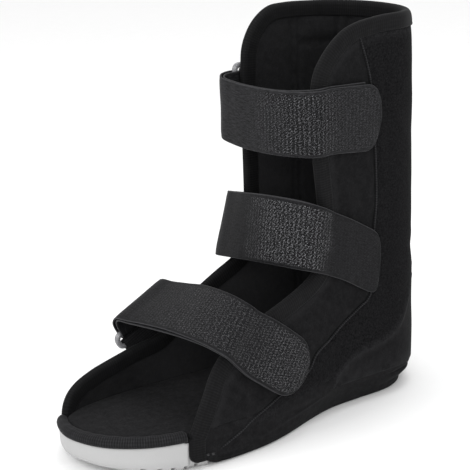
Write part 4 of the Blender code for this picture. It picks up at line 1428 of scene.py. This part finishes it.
@dataclass
class Strap:
    """Hook and loop strap that turns back over itself round its ring."""

    name: str
    node: str
    last: Last
    rows: tuple
    hooks: tuple[float, float, float, float]
    thick: float = 1.7
    layer_gap: float = 0.5
    wire: float = 2.2
    fold_run: tuple[float, float] = (3.0, 17.0)
    slip: tuple[float, float] = (0.0, 0.0)
    reach: float = 14.2
    roundness: float = 2.2
    seed: int = 1

    def edges(self) -> tuple[np.ndarray, np.ndarray, np.ndarray]:
        """Top line, bottom line and outward normals of the strap's lower run."""
        knots = []
        for row in self.rows:
            ends = []
            for across, forward, height in (row[0:3], row[3:6]):
                if isinstance(across, Side):
                    path = np.array([self.last.path_of(across, forward)])
                    ends.append(self.last.stand(path, np.array([height]), 1.4)[0])
                else:
                    ends.append(np.array([across, forward, height]))
            knots.append(np.concatenate(ends))
        line = through(knots, 3.0)
        tops, bottoms = line[:, :3], line[:, 3:]
        along = np.gradient((tops + bottoms) / 2.0, axis=0)
        normal = unit(np.cross(along, tops - bottoms))
        return tops, bottoms, -normal if normal[0][0] < 0.0 else normal

    def end_frame(self) -> tuple[np.ndarray, np.ndarray, np.ndarray, np.ndarray]:
        """Top, bottom, outward normal and run direction where the strap meets its ring."""
        tops, bottoms, normals = self.edges()
        along = (tops[-1] + bottoms[-1] - tops[-2] - bottoms[-2]) / 2.0
        return tops[-1], bottoms[-1], normals[-1], along / np.linalg.norm(along)

    def path(self) -> list[tuple[np.ndarray, np.ndarray, np.ndarray]]:
        """Stations of the outer face as top, bottom and the direction of the thickness."""
        tops, bottoms, normals = self.edges()
        end_t, end_b, end_n, along = self.end_frame()
        over = self.thick + self.layer_gap
        bar = self.wire + 0.3
        stations = list(zip(tops, bottoms, normals))
        centre = end_n * (self.thick + bar)
        for k in range(1, 14):
            angle = math.pi * k / 14.0
            turn = end_n * (-math.cos(angle)) + along * math.sin(angle)
            out = centre + turn * (bar + self.thick)
            stations.append((end_t + out, end_b + out, -turn))
        back = []
        for top, bottom, normal in zip(tops[::-1], bottoms[::-1], normals[::-1]):
            away = np.linalg.norm((top + bottom - end_t - end_b) / 2.0)
            tall = over + (2.0 * bar + self.thick - over) * (1.0 - float(eased(*self.fold_run, away)))
            down = (bottom - top) / np.linalg.norm(bottom - top)
            slip = self.slip[0] * eased(8.0, 40.0, away)
            slip = slip + (self.slip[1] - self.slip[0]) * eased(60.0, 130.0, away)
            out = normal * (tall + self.thick) + down * slip
            back.append((top + out, bottom + out, -normal))
        stations += back
        step_t, step_b = back[-1][0] - back[-2][0], back[-1][1] - back[-2][1]
        step_t, step_b = step_t / np.linalg.norm(step_t), step_b / np.linalg.norm(step_b)
        for share in (0.14, 0.28, 0.42, 0.55, 0.66, 0.76, 0.85, 0.92, 0.97, 0.995):
            narrow = 0.5 * (1.0 - (1.0 - share ** self.roundness) ** (1.0 / self.roundness))
            top = back[-1][0] + step_t * self.reach * share
            bottom = back[-1][1] + step_b * self.reach * share
            stations.append((top + (bottom - top) * narrow, bottom + (top - bottom) * narrow,
                             back[-1][2]))
        return stations

    def build(self, material: Material) -> Object:
        """Weaves the strap: a flat field between two thinner selvedges."""
        stations = self.path()
        shares = np.array([0.0, 0.012, 0.04, 0.09, 0.18, 0.3, 0.42, 0.5, 0.58, 0.7, 0.82, 0.91, 0.96,
                           0.988, 1.0])
        depths = np.interp(shares, (0.0, 0.012, 0.04, 0.09, 0.5, 0.91, 0.96, 0.988, 1.0),
                           (0.55, 0.2, 0.22, 0.0, 0.0, 0.0, 0.22, 0.2, 0.55))
        rings = []
        run = run_of(np.array([(s[0] + s[1]) / 2.0 for s in stations]))
        half = run[-1] / 2.0
        for (top, bottom, inward), length in zip(stations, run):
            wide = np.linalg.norm(bottom - top)
            place = np.column_stack([np.full(len(shares), length), shares * wide])
            curl = 0.28 * waves(place, 34.0, self.seed) * float(eased(half, half + 20.0, length))
            base = top + (bottom - top) * shares[:, None]
            face = base + inward * (depths - curl)[:, None]
            back = base[::-1] + inward * (self.thick - depths - curl)[::-1][:, None]
            rings.append(np.vstack([face, back]))
        rings = np.array(rings)
        width = np.linalg.norm(stations[8][1] - stations[8][0])
        across = np.concatenate([shares * width, shares[::-1] * width])
        strap = swept(self.name, rings, True, True, across)
        return finished(strap, self.node, "strap_webbing", material)


@dataclass
class Ring:
    """Moulded rectangular ring and the woven tab that ties it to the far wall."""

    number: int
    strap: Strap
    stand: float
    tab_length: float
    wire: float = 2.2
    outer: float = 59.8
    deep: float = 14.5
    corner: float = 4.0
    tab_thick: float = 1.2
    slack: float = 2.0
    tab_width: float = 49.8

    def seat(self) -> tuple[np.ndarray, np.ndarray, np.ndarray, np.ndarray]:
        """Middle of the front bar, and the directions back, up and out."""
        top, bottom, out, along = self.strap.end_frame()
        up = (top - bottom) / np.linalg.norm(top - bottom)
        middle = (top + bottom) / 2.0 + out * (self.strap.thick + self.wire + 0.3)
        return middle, along, up, out

    def build_ring(self, material: Material) -> Object:
        """Bends the round wire from a plate's bevelled outline."""
        middle, along, up, out = self.seat()
        nothing_selected()
        bpy.ops.mesh.primitive_plane_add(size=1.0)
        ring = bpy.context.object
        ring.name = ring.data.name = f"ring_{self.number}"
        run, tall = self.deep - 2.0 * self.wire, self.outer - 2.0 * self.wire
        ring.scale = (run * MM, tall * MM, 1.0)
        bpy.ops.object.transform_apply(location=True, rotation=True, scale=True)
        bpy.ops.object.mode_set(mode="EDIT")
        bpy.ops.mesh.select_all(action="SELECT")
        bpy.ops.mesh.bevel(offset=self.corner * MM, segments=6, affect="VERTICES")
        bpy.ops.mesh.select_all(action="SELECT")
        bpy.ops.mesh.delete(type="ONLY_FACE")
        bpy.ops.object.mode_set(mode="OBJECT")
        bpy.ops.object.convert(target="CURVE")
        ring = bpy.context.object
        ring.data.bevel_depth = self.wire * MM
        ring.data.bevel_resolution = 4
        bpy.ops.object.convert(target="MESH")
        ring = bpy.context.object
        ring.name = ring.data.name = f"ring_{self.number}"
        centre = Vector(metres(middle + along * run / 2.0))
        flip = np.array([1.0, -1.0, 1.0])
        turn = Matrix([along * flip, up * flip, out * flip]).transposed().to_4x4()
        turn.translation = centre
        ring.data.transform(turn)
        face_outward(ring)
        return finished(ring, f"loop_{self.number}", "loop_plastic", material)

    def build_tab(self, material: Material, thread: Thread) -> Object:
        """Folds the tab round the rear bar and sews both ends down."""
        middle, along, up, out = self.seat()
        middle = middle + along * (self.deep - 2.0 * self.wire)
        bar, thick, length = self.wire + 0.3, self.tab_thick, self.tab_length
        low, floor = -(bar + thick), 0.3 - self.stand
        upper = floor + 2.0 * thick + 0.3
        line = [(length, floor, 0.0, 1.0), (length * 0.55, floor, 0.0, 1.0),
                (length * 0.25, (floor + low) / 2.0, 0.0, 1.0)]
        for k in range(13):
            angle = math.pi * k / 12.0
            line.append((-math.sin(angle) * (bar + thick + self.slack), -math.cos(angle) * (bar + thick),
                         math.sin(angle), math.cos(angle)))
        line += [(length * 0.25, 0.25 * upper + 0.75 * (bar + thick), 0.0, -1.0),
                 (length * 0.55, upper, 0.0, -1.0), (length, upper, 0.0, -1.0)]
        shares = np.array([0.0, 0.02, 0.06, 0.2, 0.35, 0.5, 0.65, 0.8, 0.94, 0.98, 1.0])
        depths = np.array([0.4, 0.12, 0.0, 0.0, 0.0, 0.0, 0.0, 0.0, 0.0, 0.12, 0.4])
        fine = through(line, 1.6)
        rings = []
        for x, y, nx, ny in fine:
            inward = along * nx + out * ny
            inward = inward / np.linalg.norm(inward)
            base = middle + along * x + out * y + up * ((0.5 - shares) * self.tab_width)[:, None]
            rings.append(np.vstack([base + inward * depths[:, None],
                                    base[::-1] + inward * (thick - depths[::-1])[:, None]]))
        across = np.concatenate([shares, shares[::-1]]) * self.tab_width
        tab = swept(f"ring_tab_{self.number}", np.array(rings), True, True, across)
        box_near, box_far, half = length * 0.58, length - 2.5, self.tab_width / 2.0 - 3.5
        corners = [(box_near, half), (box_near, -half), (box_far, -half), (box_far, half),
                   (box_near, half)]
        sides = list(zip(corners[:-1], corners[1:]))
        for start, end in sides + [(corners[0], corners[2]), (corners[1], corners[3])]:
            walk = np.linspace(start, end, 20)
            points = middle + walk[:, :1] * along + walk[:, 1:] * up + out * (upper + 0.05)
            thread.sew(points, np.tile(out, (20, 1)))
        return finished(tab, f"loop_tab_{self.number}", "tab_webbing", material)


@dataclass(frozen=True)
class Studio:
    """Pale floor, soft lights and the camera at the photograph's angle."""

    azimuth: float = 52.15
    elevation: float = 16.04
    distance: float = 1.10017
    focal_px: float = 1467.27
    frame_px: float = 470.0
    aside: float = -0.03322
    look_forward: float = -0.0675
    look_height: float = 0.13501
    roll: float = -1.669

    def build_camera(self) -> None:
        """Places the camera and makes it the scene's."""
        a, e, r = (math.radians(v) for v in (self.azimuth, self.elevation, self.roll))
        back = Vector((math.sin(a) * math.cos(e), -math.cos(a) * math.cos(e), math.sin(e)))
        right = Vector((math.cos(a), math.sin(a), 0.0))
        up = back.cross(right)
        turned_right = right * math.cos(r) + up * math.sin(r)
        turned_up = up * math.cos(r) - right * math.sin(r)
        place = Matrix((turned_right, turned_up, back)).transposed().to_4x4()
        target = Vector((0.0, self.look_forward, self.look_height)) + right * self.aside
        place.translation = target + back * self.distance
        lens = bpy.data.cameras.new("camera")
        lens.sensor_width = 36.0
        lens.lens = self.focal_px / self.frame_px * lens.sensor_width
        camera = bpy.data.objects.new("camera", lens)
        camera.matrix_world = place
        bpy.context.scene.collection.objects.link(camera)
        bpy.context.scene.camera = camera

    def build_floor(self) -> None:
        """Lays a plain pale floor that curves up at its rim."""
        nothing_selected()
        bpy.ops.mesh.primitive_circle_add(vertices=96, radius=4.0, fill_type="NGON")
        floor = bpy.context.object
        floor.name = "studio_floor"
        bpy.ops.object.mode_set(mode="EDIT")
        bpy.ops.mesh.inset(thickness=0.8)
        bpy.ops.object.mode_set(mode="OBJECT")
        for vertex in floor.data.vertices:
            vertex.co.z = 0.9 * float(eased(3.2, 4.2, Vector(vertex.co[:2]).length)) - 0.0002
        material, tree, shader = start_material(
            "matt_white_paper", Roughness=0.9, Specular_IOR_Level=0.1)
        place = add_node(tree, "ShaderNodeTexCoord").outputs["Object"]
        fibre = add_node(tree, "ShaderNodeTexNoise", {"Vector": place, "Scale": 40.0, "Detail": 3.0})
        colour = add_node(tree, "ShaderNodeMix", {
            "Factor": fibre.outputs["Fac"], "A": linear("#f4f4f4"), "B": linear("#f7f7f7")},
            data_type="RGBA")
        tree.links.new(colour.outputs["Result"], shader.inputs["Base Color"])
        floor.data.materials.append(material)

    def build_light(self, name: str, place: tuple[float, float, float], size: float,
                    watts: float) -> None:
        """Hangs one soft square light that faces the boot's middle."""
        lamp = bpy.data.lights.new(name, "AREA")
        lamp.size = size
        lamp.energy = watts
        obj = bpy.data.objects.new(name, lamp)
        obj.location = place
        aim = Vector((0.0, -0.06, 0.13)) - Vector(place)
        obj.rotation_mode = "QUATERNION"
        obj.rotation_quaternion = aim.to_track_quat("-Z", "Y")
        bpy.context.scene.collection.objects.link(obj)

    def build_lights(self) -> None:
        """Sets the even white surround and the soft lights."""
        world = bpy.data.worlds.new("white_room")
        world.use_nodes = True
        sky = world.node_tree.nodes["Background"]
        sky.inputs["Color"].default_value = linear("#ffffff")
        sky.inputs["Strength"].default_value = 1.0
        bpy.context.scene.world = world
        bpy.context.scene.view_settings.view_transform = "Standard"
        self.build_light("key_light", (-0.35, -1.5, 1.25), 0.9, 9.0)
        self.build_light("fill_light", (1.35, -1.15, 0.8), 1.0, 10.0)
        self.build_light("top_light", (0.1, 0.2, 1.7), 0.8, 7.0)

    def build(self) -> None:
        """Makes the camera, the floor and the lights."""
        self.build_camera()
        self.build_floor()
        self.build_lights()


NEAR, FAR = Side.NEAR, Side.FAR
TOP_ROWS = (
    (NEAR, 76.0, 250.0, NEAR, 80.0, 201.0), (NEAR, 95.0, 250.6, NEAR, 95.0, 202.0),
    (NEAR, 109.0, 251.0, NEAR, 109.0, 203.0), (46.0, 122.5, 250.8, 46.0, 122.5, 203.0),
    (35.0, 131.5, 250.0, 35.0, 131.0, 202.6), (20.0, 136.0, 249.2, 20.0, 135.5, 201.8),
    (-4.0, 137.5, 249.0, -4.0, 137.0, 201.4), (-26.0, 137.5, 249.8, -26.0, 137.0, 202.4),
    (-40.5, 135.5, 251.0, -40.5, 135.5, 204.4), (-46.2, 129.5, 251.8, -46.2, 129.5, 205.6),
    (-46.4, 123.5, 252.2, -46.4, 123.5, 205.4), (FAR, 118.5, 252.2, FAR, 118.5, 205.0),
)
ANKLE_ROWS = (
    (NEAR, 76.5, 142.2, NEAR, 80.8, 94.4), (NEAR, 91.0, 150.5, NEAR, 97.0, 104.0),
    (NEAR, 107.0, 158.5, NEAR, 113.0, 111.5), (46.4, 122.0, 166.3, 46.8, 129.0, 118.0),
    (39.5, 131.5, 170.3, 40.5, 138.5, 121.0), (21.0, 138.5, 171.5, 22.0, 144.5, 121.5),
    (-2.0, 138.5, 169.3, -2.0, 146.5, 119.5), (-26.0, 134.5, 165.0, -27.5, 145.5, 116.0),
    (-42.0, 130.5, 162.0, -44.5, 143.0, 113.2), (-48.6, 122.5, 159.0, -50.2, 134.5, 111.0),
    (FAR, 111.0, 156.5, FAR, 119.5, 108.5), (FAR, 100.0, 153.5, FAR, 107.5, 104.5),
)
FORE_ROWS = (
    (NEAR, 146.5, 73.5, NEAR, 176.5, 39.8), (NEAR, 157.5, 82.5, NEAR, 188.0, 48.6),
    (NEAR, 170.0, 92.0, NEAR, 200.0, 58.2), (NEAR, 181.0, 99.5, NEAR, 210.0, 69.3),
    (47.0, 188.0, 105.5, 57.0, 218.5, 77.0), (37.0, 191.0, 108.8, 46.0, 224.0, 82.0),
    (20.0, 191.5, 109.0, 26.0, 227.0, 83.5), (0.0, 190.5, 107.0, 4.0, 228.0, 82.5),
    (-20.0, 190.0, 103.5, -20.0, 229.0, 80.5), (-40.0, 189.5, 100.5, -42.0, 230.5, 78.5),
    (-54.5, 189.5, 99.0, -56.5, 231.5, 77.0), (-59.0, 186.5, 92.0, -61.0, 228.5, 70.5),
    (-58.8, 183.0, 85.0, -60.6, 225.0, 63.5),
)


def build_boot() -> None:
    """Builds every sub-assembly in the order of its making."""
    last = Last()
    plan = Plan(last)
    flap = NappedCloth("brushed_foam_laminate", "#0c0c0d", "#1c1c1d")
    counter = NappedCloth("smooth_counter_cloth", "#0d0d0e", "#1e1e1f", grain_mm=1.2, relief_mm=0.15)
    # The lining's lighter shades are partly painted fill light, lifting the shade inside the boot.
    lining = NappedCloth("brushed_lining", "#151516", "#232324", relief_mm=0.2)
    bed_cloth = NappedCloth("footbed_cloth", "#111112", "#232324", grain_mm=1.6)
    wrap = NappedCloth("sole_wrap_cloth", "#0d0d0e", "#1f1f20", grain_mm=1.3, relief_mm=0.15)
    tape = RibbedTape("ribbed_edge_tape").material()
    yarn = HardFinish("polyester_thread", "#2c2c2e", "#404042", 0.6, 1.0).material()
    thread = Thread()
    upper = Upper(last, plan)
    upper.build_shell([flap.material(), LoopPile().material(), counter.material(), lining.material()])
    upper.build_tape(tape, thread)
    # The seam lip's lighter shades paint the highlight along the raised seam.
    upper.build_seam(RibbedTape("seam_lip_highlight_tape", "#141415", "#303032").material())
    sole = Sole(plan)
    sole.build_sole(MouldedFoam().material(), bed_cloth.material())
    sole.build_rand(wrap.material())
    sole.build_front_tape(tape, thread)
    bed = Footbed(plan)
    bed.build_bed(bed_cloth.material())
    bed.build_rim(RibbedTape("padded_rim_knit", "#101011", "#29292b", rib_mm=1.7).material())
    plastic = HardFinish("clear_grey_nylon", "#7e7e81", "#98989b", 0.2, 6.0, 0.3, 0.3).material()
    webbing = RibbedTape("woven_tab_webbing", "#0c0c0d", "#1e1e20", rib_mm=1.6).material()
    straps = (
        Strap("top_strap", "strap_1", last, TOP_ROWS, (0.64, 0.77, 0.82, 0.90), slip=(0.0, 2.4),
              reach=15.6, roundness=2.4, seed=11),
        Strap("ankle_strap", "strap_2", last, ANKLE_ROWS, (0.655, 0.75, 0.83, 0.865), slip=(0.0, 0.0),
              reach=17.0, roundness=4.0, seed=12),
        Strap("forefoot_strap", "strap_3", last, FORE_ROWS, (0.50, 0.74, 0.84, 0.92), slip=(-1.2, 0.2),
              reach=20.0, roundness=2.1, seed=13),
    )
    # Each strap has its own painted glint colour; strap 1's darker glint and loop paint shade over its
    # hooks, which turn from the light towards its tip.
    looks = (
        {"beyond": 0.3, "painted_glint": "#78787b", "loop": "#141416"},
        {"beyond": 0.06, "slant": 0.9, "dark": "#0b0b0c", "light": "#19191b"},
        {"strength": 0.45, "beyond": 0.8, "slant": 0.35, "dark": "#0b0b0c", "light": "#1a1a1c",
         "loop": "#19191b", "painted_glint": "#828285"},
    )
    seats = ((5.3, 34.0), (5.9, 34.0), (8.4, 21.0))
    for number, (strap, look, seat) in enumerate(zip(straps, looks, seats), start=1):
        stations = strap.path()
        run = run_of(np.array([(s[0] + s[1]) / 2.0 for s in stations]))[-1]
        width = float(np.linalg.norm(stations[8][1] - stations[8][0]))
        field_ends = tuple(share * run for share in strap.hooks)
        hooks = HookWebbing(f"hook_webbing_{number}", field_ends, width, **look)
        strap.build(hooks.material())
        ring = Ring(number, strap, *seat)
        ring.build_ring(plastic)
        ring.build_tab(webbing, thread)
    thread.build("stitches", yarn)


def main() -> None:
    """Builds the boot and its studio."""
    logging.basicConfig(level=logging.INFO, format="%(name)s %(message)s")
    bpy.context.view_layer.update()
    build_boot()
    Studio().build()


if __name__ == "__main__":
    main()
